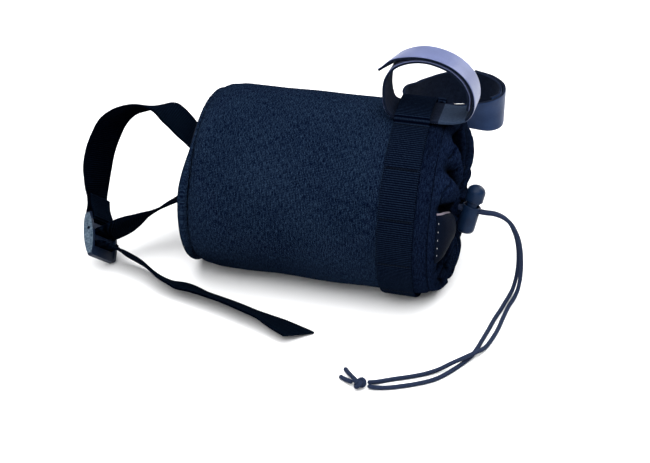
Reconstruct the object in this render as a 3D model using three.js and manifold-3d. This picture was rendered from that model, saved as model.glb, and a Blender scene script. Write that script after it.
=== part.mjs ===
// A padded bottle bag of woven cloth, lying on its side with its mouth drawn shut.
// Millimetres. +X runs along the bag from base to mouth, -Y is the front, +Z is up.
// The origin is on the flat of the underside, where the bag rests.
import * as THREE from 'three';
import { mergeVertices } from 'three/addons/utils/BufferGeometryUtils.js';
import Module from 'manifold-3d';

const wasm = await Module();
wasm.setup();

// Driving dimensions
const gap = 0.3; // between pieces that touch
const bagRadius = 54.5;
const padWall = 4; // padded cloth of the drum
const pressedFlat = 3; // how far the underside is pressed in by its own weight
const baseSeamX = -64;
const baseTilt = 0.05; // the base leans in at the top by this much for each unit of height
const collarSeamX = 72;
const webWidth = 20;
const webThick = 1.5;
const bandX = 44.7; // edge of the webbing band nearer the base
const tackStep = 28.7; // degrees between the rows of stitches that hold the band
const loopLift = 3.3; // how far a raised loop of the band stands off the drum
const collarWall = 1.6;
const hookWidth = 22; // hook-and-loop strap
const hookThick = 1.6;
const cordRadius = 1.25;
const drumSides = 60;

const axisHeight = bagRadius - pressedFlat;
const innerRadius = bagRadius - padWall;

// Materials
const cloth = new THREE.MeshStandardMaterial({ color: 0x141d2c, roughness: 0.9, metalness: 0 });
const webbing = new THREE.MeshStandardMaterial({ color: 0x0c121c, roughness: 0.85, metalness: 0 });
const hookTape = new THREE.MeshStandardMaterial({ color: 0x6f7f9e, roughness: 0.5, metalness: 0 });
const patchCloth = new THREE.MeshStandardMaterial({ color: 0x10141b, roughness: 0.8, metalness: 0 });
const moulding = new THREE.MeshStandardMaterial({ color: 0x39465a, roughness: 0.45, metalness: 0 });
const braid = new THREE.MeshStandardMaterial({ color: 0x2b3245, roughness: 0.85, metalness: 0 });

const bag = new THREE.Group();
const radians = THREE.MathUtils.degToRad;
const mix = THREE.MathUtils.lerp;
const smooth = THREE.MathUtils.smoothstep;

function addPiece(name, geometry, material, parent = bag) {
  const mesh = new THREE.Mesh(outward(geometry), material);
  mesh.name = name;
  parent.add(mesh);
  return mesh;
}

// Turns a closed geometry the right way out.
function outward(geometry) {
  const solid = cleaned(geometry);
  const place = solid.getAttribute('position');
  const index = solid.getIndex();
  const [a, b, c] = [new THREE.Vector3(), new THREE.Vector3(), new THREE.Vector3()];
  let volume = 0;
  for (let i = 0; i < index.count; i += 3) {
    a.fromBufferAttribute(place, index.getX(i));
    b.fromBufferAttribute(place, index.getX(i + 1));
    c.fromBufferAttribute(place, index.getX(i + 2));
    volume += a.dot(b.cross(c));
  }
  if (volume < 0) {
    for (let i = 0; i < index.count; i += 3) {
      const kept = index.getX(i);
      index.setX(i, index.getX(i + 1));
      index.setX(i + 1, kept);
    }
  }
  solid.computeVertexNormals();
  return solid;
}

// Keeps only positions, with shared corners merged and collapsed triangles left out.
function cleaned(geometry) {
  const bare = new THREE.BufferGeometry();
  bare.setAttribute('position', geometry.getAttribute('position').clone());
  bare.setIndex(geometry.getIndex() ? geometry.getIndex().clone() : null);
  const merged = mergeVertices(bare, 1e-3);
  const index = merged.getIndex();
  const kept = [];
  for (let i = 0; i < index.count; i += 3) {
    const corners = [index.getX(i), index.getX(i + 1), index.getX(i + 2)];
    if (new Set(corners).size === 3) {
      kept.push(...corners);
    }
  }
  merged.setIndex(kept);
  return merged;
}

function toSolid(geometry) {
  const shell = outward(geometry);
  const vertProperties = new Float32Array(shell.getAttribute('position').array);
  const triVerts = new Uint32Array(shell.getIndex().array);
  return new wasm.Manifold(new wasm.Mesh({ numProp: 3, vertProperties, triVerts }));
}

function toGeometry(solid) {
  const mesh = solid.getMesh();
  const geometry = new THREE.BufferGeometry();
  geometry.setAttribute('position', new THREE.Float32BufferAttribute(mesh.vertProperties, 3));
  geometry.setIndex([...mesh.triVerts]);
  return geometry;
}

// Skins a row of closed sections. In an open row each section is a strip, closed by a ladder of quads.
function loft(sections, isRing) {
  const count = sections[0].length;
  const index = [];
  const quad = (a, b, c, d) => index.push(a, b, c, a, c, d);
  const spans = isRing ? sections.length : sections.length - 1;
  for (let i = 0; i < spans; i += 1) {
    const here = i * count;
    const next = ((i + 1) % sections.length) * count;
    for (let j = 0; j < count; j += 1) {
      const k = (j + 1) % count;
      quad(here + j, here + k, next + k, next + j);
    }
  }
  if (!isRing) {
    const last = (sections.length - 1) * count;
    for (let j = 0; j < count / 2 - 1; j += 1) {
      const far = count - 1 - j;
      quad(j, far, far - 1, j + 1);
      quad(last + j, last + j + 1, last + far - 1, last + far);
    }
  }
  const geometry = new THREE.BufferGeometry();
  const numbers = sections.flat().flatMap((point) => point.toArray());
  geometry.setAttribute('position', new THREE.Float32BufferAttribute(numbers, 3));
  geometry.setIndex(index);
  return geometry;
}

// A point of the drum. turn is in degrees from straight up towards the front.
function drumPoint(x, radius, turn, floor) {
  const angle = radians(turn);
  const height = Math.max(axisHeight + radius * Math.cos(angle), floor);
  return new THREE.Vector3(x + leanAt(x, height), -radius * Math.sin(angle), height);
}

// How far the leaning base end carries a point along the bag. The lean has faded out by tiltEndX.
const tiltEndX = -30;
function leanAt(x, height) {
  return baseTilt * (height - axisHeight) * (1 - smooth(x, baseSeamX, tiltEndX));
}

const drumTurns = Array.from({ length: drumSides }, (_, i) => ((i + 0.5) * 360) / drumSides);

// Drum: a padded wall, pressed in a little more under the band
const bandFloor = webThick + gap;
const bandEnd = bandX + webWidth;
const drumRows = [
  { x: baseSeamX, radius: 52.2, floor: 0 },
  { x: baseSeamX + 2, radius: 53.8, floor: 0 },
  { x: baseSeamX + 8, radius: bagRadius, floor: 0 },
  { x: tiltEndX, radius: bagRadius, floor: 0 },
  { x: 6, radius: bagRadius, floor: 0 },
  { x: bandX - 2, radius: bagRadius, floor: 0 },
  { x: bandX - 1, radius: bagRadius, floor: bandFloor },
  { x: bandEnd + 1, radius: bagRadius, floor: bandFloor },
  { x: bandEnd + 2, radius: bagRadius, floor: 0 },
  { x: collarSeamX, radius: 54, floor: 0 },
];
const liningRows = [...drumRows].reverse();
const drumSections = drumTurns.map((turn) => [
  ...drumRows.map((row) => drumPoint(row.x, row.radius, turn, row.floor)),
  ...liningRows.map((row) => drumPoint(row.x, innerRadius, turn, row.floor + padWall)),
]);
addPiece('body_shell', loft(drumSections, true), cloth);

// Base: a padded disc that bulges past its seam
const baseRows = [
  { radius: 0, x: baseSeamX - gap },
  { radius: 52.2, x: baseSeamX - gap },
  { radius: 53.4, x: -65.2 },
  { radius: 53.5, x: -66 },
  { radius: 52.4, x: -67.2 },
  { radius: 48, x: -68.5 },
  { radius: 37, x: -69.4 },
  { radius: 20, x: -70 },
  { radius: 0, x: -70.2 },
];
const baseCrown = -baseRows.at(-1).x;
const baseProfile = baseRows.map((row) => new THREE.Vector2(row.radius, row.x));
const baseDisc = new THREE.LatheGeometry(baseProfile, drumSides, Math.PI / drumSides);
baseDisc.rotateZ(-Math.PI / 2).translate(0, 0, axisHeight);
const basePlace = baseDisc.getAttribute('position');
for (let i = 0; i < basePlace.count; i += 1) {
  const height = Math.max(basePlace.getZ(i), 0);
  basePlace.setX(i, basePlace.getX(i) + leanAt(basePlace.getX(i), height));
  basePlace.setZ(i, height);
}
addPiece('base_panel', baseDisc, cloth);

// Collar: thin cloth whose profile turns in to the mouth, gathered into pleats between creases.
// slide is how far the section has moved towards the mouth's own centre. The mouth is a small lip that
// meets the cord lock.
const mouthY = -7.1;
const mouthZ = 1.3;
const collarRows = [
  { x: collarSeamX + gap, radius: 54, pleat: 0, slide: 0 },
  { x: 76.6, radius: 52.2, pleat: 0.3, slide: 0 },
  { x: 79.6, radius: 48, pleat: 1.2, slide: 0.05 },
  { x: 81.8, radius: 41.4, pleat: 2.4, slide: 0.15 },
  { x: 83.4, radius: 33.6, pleat: 3.2, slide: 0.35 },
  { x: 83.9, radius: 26.5, pleat: 3.2, slide: 0.6 },
  { x: 82.4, radius: 19.5, pleat: 2, slide: 0.85 },
  { x: 79.4, radius: 13.4, pleat: 1, slide: 1 },
  { x: 78.6, radius: 8.4, pleat: 0.5, slide: 1 },
  { x: 80, radius: 5.2, pleat: 0.15, slide: 1 },
  { x: 82, radius: 4.5, pleat: 0, slide: 1 },
];
const creases = [
  { turn: 2, depth: 0.8 },
  { turn: 27, depth: 1.1 },
  { turn: 45, depth: 0.7 },
  { turn: 64, depth: 1.3 },
  { turn: 105, depth: 0.9 },
  { turn: 124, depth: 1 },
  { turn: 149, depth: 0.8 },
  { turn: 171, depth: 1 },
  { turn: 196, depth: 0.9 },
  { turn: 221, depth: 1.1 },
  { turn: 246, depth: 0.8 },
  { turn: 268, depth: 1 },
  { turn: 293, depth: 0.9 },
  { turn: 316, depth: 1.1 },
  { turn: 339, depth: 0.9 },
];

// How deep the cloth is drawn in at a turn: 0 on the crown of a pleat, the crease's depth at its foot.
function creaseDepth(turn) {
  const wrapped = ((((turn - creases[0].turn) % 360) + 360) % 360) + creases[0].turn;
  let i = creases.length - 1;
  while (creases[i].turn > wrapped) {
    i -= 1;
  }
  const from = creases[i];
  const to = creases[(i + 1) % creases.length];
  const width = (to.turn - from.turn + 360) % 360;
  const share = (wrapped - from.turn) / width;
  return mix(from.depth, to.depth, share) * (1 - Math.sin(Math.PI * share) ** 0.7);
}

const collarCurve = new THREE.SplineCurve(collarRows.map((row) => new THREE.Vector2(row.x, row.radius)));

// A point of the collar, share of the way from seam to mouth, offset along the outward normal.
function collarPoint(share, turn, offset) {
  const place = share * (collarRows.length - 1);
  const i = Math.min(Math.floor(place), collarRows.length - 2);
  const pleat = mix(collarRows[i].pleat, collarRows[i + 1].pleat, place - i);
  const slide = mix(collarRows[i].slide, collarRows[i + 1].slide, place - i);
  const tangent = collarCurve.getTangent(share);
  const out = offset - pleat * creaseDepth(turn);
  const centre = collarCurve.getPoint(share);
  const point = drumPoint(centre.x - tangent.y * out, centre.y + tangent.x * out, turn, -Infinity);
  point.y += slide * mouthY;
  point.z += slide * mouthZ;
  point.x = Math.max(point.x, collarSeamX + gap);
  point.z = Math.max(point.z, -offset);
  return point;
}

const pleatSamples = [0, 0.14, 0.36, 0.64, 0.86];
const collarTurns = creases.flatMap((crease, i) => {
  const width = (creases[(i + 1) % creases.length].turn - crease.turn + 360) % 360;
  return pleatSamples.map((share) => crease.turn + share * width);
});
const collarShares = collarRows.map((_, i) => i / (collarRows.length - 1));
const collarSections = collarTurns.map((turn) => [
  ...collarShares.map((share) => collarPoint(share, turn, 0)),
  ...[...collarShares].reverse().map((share) => collarPoint(share, turn, -collarWall)),
]);
addPiece('collar', loft(collarSections, true), cloth);

// Label: a plain patch that lies on the collar just past the seam
const labelThick = 0.8;
const labelRows = [0.96, 1.45, 2, 2.55, 3.1]; // in rows of the collar
const labelShares = labelRows.map((row) => row / (collarRows.length - 1));
const labelTurns = [67.5, 74, 81, 88, 95, 101.5];
const labelSections = labelTurns.map((turn) => [
  ...labelShares.map((share) => collarPoint(share, turn, gap + labelThick)),
  ...[...labelShares].reverse().map((share) => collarPoint(share, turn, gap)),
]);
addPiece('label', loft(labelSections, false), patchCloth);

// Webbing band: lies on the drum, and stands off it in the two loops that hold straps
const firstTack = 16.4;
const frontLoop = firstTack - tackStep / 2;
const rearLoop = frontLoop - 2 * tackStep;
const loopSteps = [-1, -0.885, -0.77, -0.4, 0, 0.4, 0.77, 0.885, 1];
const loopTurns = [frontLoop, rearLoop].map((turn) => loopSteps.map((step) => turn + (step * tackStep) / 2));
const inLoop = (turn) => loopTurns.some((turns) => turn > turns[0] - 2 && turn < turns.at(-1) + 2);
const signedTurns = drumTurns.map((turn) => (turn > 180 ? turn - 360 : turn));
const bandTurns = [...signedTurns.filter((turn) => !inLoop(turn)), ...loopTurns.flat()].sort((a, b) => a - b);

function bandLift(turn) {
  const nearest = Math.min(Math.abs(turn - frontLoop), Math.abs(turn - rearLoop)) / (tackStep / 2);
  return loopLift * (1 - smooth(nearest, 0.77, 1));
}

const bandSections = bandTurns.map((turn) => {
  const inside = bagRadius + gap + bandLift(turn);
  return [
    drumPoint(bandX, inside, turn, webThick),
    drumPoint(bandX, inside + webThick, turn, 0),
    drumPoint(bandEnd, inside + webThick, turn, 0),
    drumPoint(bandEnd, inside, turn, webThick),
  ];
});
addPiece('webbing_band', loft(bandSections, true), webbing);

// A flat strap through stations. Each station has a centre and the direction across the strap.
// skew moves the two corners of the last end along the strap, for a slanted cut.
function strap(stations, width, thick, stepsPerSpan, skew = 0) {
  const centres = new THREE.CatmullRomCurve3(stations.map((station) => station.at));
  const acrosses = new THREE.CatmullRomCurve3(stations.map((station) => station.across));
  const steps = (stations.length - 1) * stepsPerSpan;
  const sections = [];
  for (let i = 0; i <= steps; i += 1) {
    const share = i / steps;
    const centre = centres.getPoint(share);
    const tangent = centres.getTangent(share);
    const across = acrosses.getPoint(share);
    across.addScaledVector(tangent, -across.dot(tangent)).setLength(width / 2);
    const normal = tangent.clone().cross(across).setLength(thick / 2);
    const slant = i === steps ? tangent.clone().multiplyScalar(skew / 2) : new THREE.Vector3();
    const left = centre.clone().add(across).add(slant);
    const right = centre.clone().sub(across).sub(slant);
    sections.push([
      left.clone().add(normal),
      right.clone().add(normal),
      right.clone().sub(normal),
      left.clone().sub(normal),
    ]);
  }
  return loft(sections, false);
}

const station = (x, y, z, acrossX, acrossY, acrossZ) => ({
  at: new THREE.Vector3(x, y, z),
  across: new THREE.Vector3(acrossX, acrossY, acrossZ),
});

// A hook strap's station: lean is the angle of its width above the horizontal, seen along the bag
const hookStation = (row) => {
  const lean = radians(row.lean);
  return station(row.x, row.y, row.z, 0, -Math.cos(lean), Math.sin(lean));
};

// Front hook strap: starts inside the ring at the mouth end, goes over and round through the band's
// front loop, and laps over itself to a free tip at the base end.
const frontHookRows = [
  { x: 75, y: -2, z: 110.6, lean: 3 },
  { x: 81, y: -2, z: 111.2, lean: 4 },
  { x: 84.6, y: -2, z: 115.6, lean: 5 },
  { x: 84.4, y: -1.5, z: 122.4, lean: 6 },
  { x: 81, y: -1.5, z: 129.6, lean: 7 },
  { x: 75, y: -1, z: 135, lean: 7 },
  { x: 67.4, y: -1, z: 138.4, lean: 7 },
  { x: 59, y: -1, z: 139.8, lean: 7 },
  { x: 51, y: -1, z: 138.2, lean: 7 },
  { x: 44.4, y: -1, z: 134, lean: 6 },
  { x: 40.2, y: -1.5, z: 127.6, lean: 6 },
  { x: 38.6, y: -1.5, z: 120.6, lean: 5 },
  { x: 38.8, y: -2, z: 114.4, lean: 4 },
  { x: 40.6, y: -2, z: 109.6, lean: 3 },
  { x: 44.6, y: -2, z: 107.2, lean: -1.5 },
  { x: 52, y: -2, z: 107.1, lean: -2 },
  { x: 60, y: -2, z: 107.1, lean: -2 },
  { x: 68, y: -2, z: 107.1, lean: -1.5 },
  { x: 76, y: -2, z: 107.2, lean: 1 },
  { x: 83, y: -2, z: 109, lean: 4 },
  { x: 86.9, y: -2, z: 114.6, lean: 5 },
  { x: 86.7, y: -1.5, z: 122.8, lean: 6 },
  { x: 83, y: -1.5, z: 130.8, lean: 7 },
  { x: 76.2, y: -1, z: 136.8, lean: 7 },
  { x: 68, y: -1, z: 140.5, lean: 7 },
  { x: 59, y: -1, z: 142, lean: 7 },
  { x: 50.2, y: -1, z: 140.6, lean: 7 },
  { x: 43.2, y: -1, z: 137.6, lean: 7 },
  { x: 37, y: -1, z: 134, lean: 7 },
];
addPiece('front_hook_strap', strap(frontHookRows.map(hookStation), hookWidth, hookThick, 2), hookTape);

// Rear hook strap: the same, standing on edge behind the bag
const rearHookRows = [
  { x: 87, y: 55, z: 81.5, lean: 78 },
  { x: 92, y: 63, z: 81, lean: 86 },
  { x: 91, y: 74, z: 81, lean: 90 },
  { x: 84, y: 83, z: 81, lean: 90 },
  { x: 73, y: 88, z: 81, lean: 90 },
  { x: 63, y: 86.6, z: 81, lean: 90 },
  { x: 54.6, y: 81, z: 81, lean: 88 },
  { x: 47.6, y: 72.5, z: 81.4, lean: 84 },
  { x: 42.6, y: 63, z: 82.8, lean: 76 },
  { x: 39.2, y: 54, z: 84.2, lean: 65 },
  { x: 40.4, y: 48.6, z: 84.2, lean: 57.5 },
  { x: 44.6, y: 46.1, z: 83.3, lean: 55.6 },
  { x: 52, y: 45.8, z: 83.1, lean: 55.3 },
  { x: 60, y: 45.8, z: 83.1, lean: 55.3 },
  { x: 69, y: 46.4, z: 83, lean: 56 },
  { x: 80, y: 48.6, z: 82.4, lean: 66 },
  { x: 89.4, y: 53.6, z: 81.6, lean: 78 },
  { x: 94.4, y: 62.6, z: 81, lean: 86 },
  { x: 93.2, y: 75, z: 81, lean: 90 },
  { x: 85.4, y: 84.8, z: 81, lean: 90 },
  { x: 73.4, y: 90.2, z: 81, lean: 90 },
];
addPiece('rear_hook_strap', strap(rearHookRows.map(hookStation), hookWidth, hookThick, 2), hookTape);

// Ladder-lock buckle: a plate with three slots between two thicker rails, leaning back on a low corner.
// In its own frame X is across the webbing to the back, Y is up towards the sewn strap, Z is to the bag.
const buckle = {
  width: 25,
  length: 27,
  plateThick: 3,
  railWidth: 2.1,
  railThick: 6.4,
  slotWidth: 20.8,
  slotHeight: 4,
  cornerRadius: 2.5,
  slotCorner: 0.8,
  lipRadius: 1.9,
  lipOffset: -0.8,
  railHoleRadius: 1,
  slots: { sewn: 8.8, feed: 1.8, tail: -5.4 }, // middle height of each slot
};
const buckleAcross = new THREE.Vector3(0.27, 0.7, -0.66).normalize();
const buckleUp = new THREE.Vector3(-0.284, 0.716, 0.645);
buckleUp.addScaledVector(buckleAcross, -buckleUp.dot(buckleAcross)).normalize();
const buckleIn = buckleAcross.clone().cross(buckleUp);
const buckleGroup = new THREE.Group();
buckleGroup.quaternion.setFromRotationMatrix(new THREE.Matrix4().makeBasis(buckleAcross, buckleUp, buckleIn));
buckleGroup.position.set(-125.5, -33.5, 17);
buckleGroup.updateMatrixWorld(true);
bag.add(buckleGroup);

function roundedOutline(width, height, radius, middleY, Kind) {
  const outline = new Kind();
  const x = width / 2 - radius;
  const y = height / 2 - radius;
  outline.absarc(x, middleY + y, radius, 0, Math.PI / 2);
  outline.absarc(-x, middleY + y, radius, Math.PI / 2, Math.PI);
  outline.absarc(-x, middleY - y, radius, Math.PI, 1.5 * Math.PI);
  outline.absarc(x, middleY - y, radius, 1.5 * Math.PI, 2 * Math.PI);
  return outline;
}

function buckleGeometry() {
  const plateShape = roundedOutline(buckle.width, buckle.length, buckle.cornerRadius, 0, THREE.Shape);
  for (const middle of Object.values(buckle.slots)) {
    const slot = roundedOutline(buckle.slotWidth, buckle.slotHeight, buckle.slotCorner, middle, THREE.Path);
    plateShape.holes.push(slot);
  }
  const plate = new THREE.ExtrudeGeometry(plateShape, {
    depth: buckle.plateThick,
    bevelEnabled: false,
    curveSegments: 3,
  });
  plate.translate(0, 0, -buckle.plateThick / 2);
  let solid = toSolid(plate);
  const railShape = new THREE.Shape();
  const end = buckle.length / 2 - 1.5;
  const flat = buckle.plateThick / 2;
  const full = buckle.railThick / 2;
  railShape.moveTo(-end, -flat);
  railShape.quadraticCurveTo(-end * 0.6, -full, 0, -full);
  railShape.quadraticCurveTo(end * 0.6, -full, end, -flat);
  railShape.lineTo(end, flat);
  railShape.quadraticCurveTo(end * 0.6, full, 0, full);
  railShape.quadraticCurveTo(-end * 0.6, full, -end, flat);
  for (const side of [-1, 1]) {
    const rail = new THREE.ExtrudeGeometry(railShape, {
      depth: buckle.railWidth,
      bevelEnabled: false,
      curveSegments: 5,
    });
    rail.translate(0, 0, -buckle.railWidth / 2);
    rail.rotateX(-Math.PI / 2).rotateZ(Math.PI / 2);
    rail.translate((side * (buckle.width - buckle.railWidth)) / 2, 0, 0);
    solid = solid.add(toSolid(rail));
  }
  const lip = new THREE.CylinderGeometry(buckle.lipRadius, buckle.lipRadius, buckle.width - 4, 12);
  lip.rotateZ(Math.PI / 2).translate(0, buckle.lipRadius - buckle.length / 2, buckle.lipOffset);
  solid = solid.add(toSolid(lip));
  const railHole = new THREE.CylinderGeometry(buckle.railHoleRadius, buckle.railHoleRadius, 3, 10);
  railHole.rotateZ(Math.PI / 2).translate(-buckle.width / 2, 3, 0.4);
  return toGeometry(solid.subtract(toSolid(railHole)));
}
addPiece('strap_buckle', buckleGeometry(), moulding, buckleGroup);

// A strap station given in the buckle's frame
const buckleStation = (up, inward) => ({
  at: buckleGroup.localToWorld(new THREE.Vector3(0, up, inward)),
  across: buckleAcross.clone(),
});

// A strap station where it is sewn down the middle of the leaning base
const rootY = 4;
const rootX = -baseCrown - gap - webThick / 2;
const rootStation = (height) => station(rootX + leanAt(baseSeamX, height), rootY, height, 0, 1, 0);

// Sewn strap: its folded end hugs the buckle's top bar, then it arches over to the middle of the base
const wrap = buckle.plateThick / 2 + gap + webThick / 2;
const sewnTop = buckle.length / 2;
const buckleStrapStations = [
  buckleStation(sewnTop + 11.5, 1),
  buckleStation(sewnTop + 5, 1.1),
  buckleStation(sewnTop - 1, wrap),
  buckleStation(sewnTop - 3.4, wrap),
  buckleStation(buckle.slots.sewn, 0.2),
  buckleStation(sewnTop - 3.4, -wrap),
  buckleStation(sewnTop - 1, -wrap),
  buckleStation(sewnTop + 5, -1.1),
  buckleStation(sewnTop + 12, -1.1),
  station(-135, -10, 42.2, 0.45, 0.7, -0.5),
  station(-135.4, -6, 49.6, 0.6, 0.68, -0.42),
  station(-134.6, -2, 57.4, 0.62, 0.68, -0.4),
  station(-131.8, 1, 66, 0.6, 0.69, -0.41),
  station(-126.8, 3, 75.6, 0.55, 0.72, -0.42),
  station(-119.2, 3.6, 82.6, 0.35, 0.78, -0.5),
  station(-109.4, 4, 86.4, 0.1, 0.82, -0.56),
  station(-98.6, 4, 87.6, 0.1, 0.94, -0.3),
  station(-90, 4, 84.4, 0.22, 0.95, 0.1),
  station(-83.4, 4, 78.2, 0.22, 0.96, 0.1),
  station(-77, 4, 71, 0.12, 1, 0),
  station(-72.4, 4, 64.2, 0, 1, 0),
  rootStation(57.4),
  rootStation(52),
];
addPiece('buckle_strap', strap(buckleStrapStations, webWidth, webThick, 2), webbing);

// Adjusting strap: from the base into the buckle's feed slot, over the middle bar, out of the tail slot,
// and away along the ground with its width twisting. The end is cut slantwise.
const tailSkew = 7;
const middleBar = (buckle.slots.feed + buckle.slots.tail) / 2;
const adjustingStations = [
  rootStation(51),
  rootStation(45.4),
  station(-73, 4, 39.6, 0, 1, 0),
  station(-78.6, 3, 35.2, 0, 1, -0.1),
  station(-87.6, -1, 30.4, 0, 0.97, -0.2),
  station(-94.4, -7, 27.8, 0, 0.95, -0.3),
  station(-102, -13.4, 24.8, 0.05, 0.9, -0.38),
  station(-111.2, -22, 21.2, 0, 0.62, -0.78),
  buckleStation(buckle.slots.feed + 0.3, 6.5),
  buckleStation(buckle.slots.feed, 3.4),
  buckleStation(buckle.slots.feed - 0.2, -1.6),
  buckleStation(middleBar, -wrap - 1.1),
  buckleStation(buckle.slots.tail + 0.2, -1.6),
  buckleStation(buckle.slots.tail, 3.4),
  buckleStation(buckle.slots.tail - 0.5, 6.5),
  station(-111.6, -38.4, 13, 0.24, 0.64, -0.73),
  station(-105, -39.6, 11.2, 0.22, 0.6, -0.77),
  station(-97.3, -42.6, 10, 0.22, 0.58, -0.79),
  station(-90.9, -46.5, 9.3, 0.2, 0.55, -0.81),
  station(-84.7, -50.3, 8.6, 0.24, 0.63, -0.74),
  station(-76.5, -53.7, 7.4, 0.28, 0.74, -0.6),
  station(-66.9, -55, 6, 0.32, 0.84, -0.44),
  station(-55.9, -58.8, 6.4, 0.3, 0.79, -0.54),
  station(-44, -62.3, 6.6, 0.3, 0.78, -0.55),
  station(-33.5, -65.7, 6.6, 0.3, 0.78, -0.55),
  station(-22.9, -69.6, 6.4, 0.3, 0.79, -0.54),
  station(-13.4, -72.6, 6, 0.31, 0.81, -0.5),
  station(-5.2, -75.6, 5, 0.33, 0.86, -0.38),
  station(8.4, -81.2, 4, 0.34, 0.9, -0.28),
];
addPiece('adjusting_strap', strap(adjustingStations, webWidth, webThick, 2, tailSkew), webbing);

// Cord lock: a barrel with a well, and a button whose stem slides in it. Both are pierced for the cords.
// In its own frame Z runs along the lock from barrel to button, and X is the way the cords go through.
const lock = {
  radius: 5.3,
  bottom: -13.8,
  rim: 2.6,
  wellRadius: 4.3,
  wellBottom: -9.5,
  stemRadius: 4,
  stemBottom: -6,
  travel: 2.6,
  top: 15,
  holeWidth: 6,
  holeHeight: 3.6,
};
const lockAxis = new THREE.Vector3(0.2, 0.2, 0.95).normalize();
const lockThrough = new THREE.Vector3(1, 0, 0);
lockThrough.addScaledVector(lockAxis, -lockThrough.dot(lockAxis)).normalize();
const lockSide = lockAxis.clone().cross(lockThrough);
const lockGroup = new THREE.Group();
lockGroup.quaternion.setFromRotationMatrix(new THREE.Matrix4().makeBasis(lockThrough, lockSide, lockAxis));
lockGroup.position.set(88.7, -7, 52.2);
lockGroup.updateMatrixWorld(true);
bag.add(lockGroup);

function turned(rows, sides) {
  const geometry = new THREE.LatheGeometry(rows.map((row) => new THREE.Vector2(row[0], row[1])), sides);
  return geometry.rotateX(Math.PI / 2);
}

function cordHole(from, to) {
  const box = new THREE.BoxGeometry(4 * lock.radius, lock.holeWidth, to - from);
  return toSolid(box.translate(0, 0, (from + to) / 2));
}

const half = lock.holeHeight / 2;
const lockSides = 20;
const barrelRows = [
  [0, lock.bottom],
  [3.4, lock.bottom],
  [4.9, lock.bottom + 1],
  [lock.radius, lock.bottom + 3],
  [lock.radius, lock.rim - 1],
  [lock.radius - 0.5, lock.rim],
  [lock.wellRadius, lock.rim],
  [lock.wellRadius, lock.wellBottom],
  [0, lock.wellBottom],
];
const barrel = toSolid(turned(barrelRows, lockSides)).subtract(cordHole(-half, half));
addPiece('cord_lock_barrel', toGeometry(barrel), moulding, lockGroup);

const capFoot = lock.rim + lock.travel + gap;
const buttonRows = [
  [0, lock.stemBottom],
  [lock.stemRadius, lock.stemBottom],
  [lock.stemRadius, capFoot],
  [lock.radius - 0.5, capFoot],
  [lock.radius, capFoot + 1],
  [lock.radius, lock.top - 3.4],
  [4.6, lock.top - 1.4],
  [2.8, lock.top - 0.3],
  [0, lock.top],
];
const button = toSolid(turned(buttonRows, lockSides)).subtract(cordHole(-half, half + lock.travel));
addPiece('cord_lock_button', toGeometry(button), moulding, lockGroup);

// Draw cord: its two ends come out of the mouth through the lock, drop to the ground and run to a knot
const cordRoutes = {
  draw_cord_a: [
    [80.5, -8.4, 53.5], [88.7, -8.4, 52.5], [96.4, -8.3, 51.7], [102, -8.1, 51.6], [107, -7.9, 50.2],
    [111.4, -7.6, 46.8], [114.6, -7.5, 41.8], [117, -7.5, 36], [118.4, -7.5, 29.6], [119.2, -7.6, 23],
    [119.6, -8, 16], [119.4, -9, 9.4], [118.6, -11.8, 4.4], [117.2, -16, 2], [115.8, -21.4, 1.4],
    [114.9, -27.5, 1.3], [113.9, -36, 1.3], [113, -45, 1.3], [111, -56, 1.3], [108.4, -66, 2],
    [104.2, -74.5, 4], [99.5, -81, 4.6], [94, -86.4, 4], [88, -91, 2.2], [82, -95.2, 1.4],
    [76, -98.9, 1.3], [64.3, -105, 1.3], [58, -108.8, 1.5], [53.6, -111.6, 2.4],
  ],
  draw_cord_b: [
    [80.5, -5.7, 53], [88.7, -5.6, 51.9], [96.4, -5.6, 51], [101.8, -5.4, 50.8], [106.5, -5.2, 49.1],
    [110.6, -4.9, 45.6], [113.4, -4.8, 40.6], [115.4, -4.7, 35], [116.6, -4.6, 28.8], [117.2, -4.6, 22.4],
    [117.3, -4.8, 15.6], [116.8, -5.8, 9.2], [115.8, -8.8, 4.2], [114.4, -13.6, 1.9], [113, -20, 1.4],
    [111.6, -27.5, 1.3], [109.6, -37, 1.3], [108, -47, 1.3], [106, -58.2, 1.3], [104.4, -67, 1.3],
    [102.4, -74.5, 1.3], [99.4, -81, 1.3], [95.6, -87.6, 1.3], [91, -94.5, 1.3], [86.5, -99.5, 1.3],
    [80, -104.2, 1.3], [72, -108.6, 1.3], [65, -111.8, 1.3], [58.6, -113.6, 1.5], [54.3, -114.6, 2.3],
  ],
  cord_tail_a: [[46.5, -111.1, 3.4], [43, -106.6, 2.4], [39, -101.2, 1.4]],
  cord_tail_b: [[45.4, -113.6, 2.9], [41.6, -111, 1.9], [37.8, -108.6, 1.4]],
};
const cordStep = 2.6 * 2 * cordRadius;
const cordSection = new THREE.Shape(
  Array.from({ length: 8 }, (_, i) => {
    const angle = (i * Math.PI) / 4;
    return new THREE.Vector2(cordRadius * Math.cos(angle), cordRadius * Math.sin(angle));
  }),
);
for (const [name, points] of Object.entries(cordRoutes)) {
  const route = new THREE.CatmullRomCurve3(points.map((point) => new THREE.Vector3(...point)));
  const steps = Math.max(2, Math.round(route.getLength() / cordStep));
  const tube = new THREE.ExtrudeGeometry(cordSection, { steps, extrudePath: route });
  addPiece(name, tube, braid);
}

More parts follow.
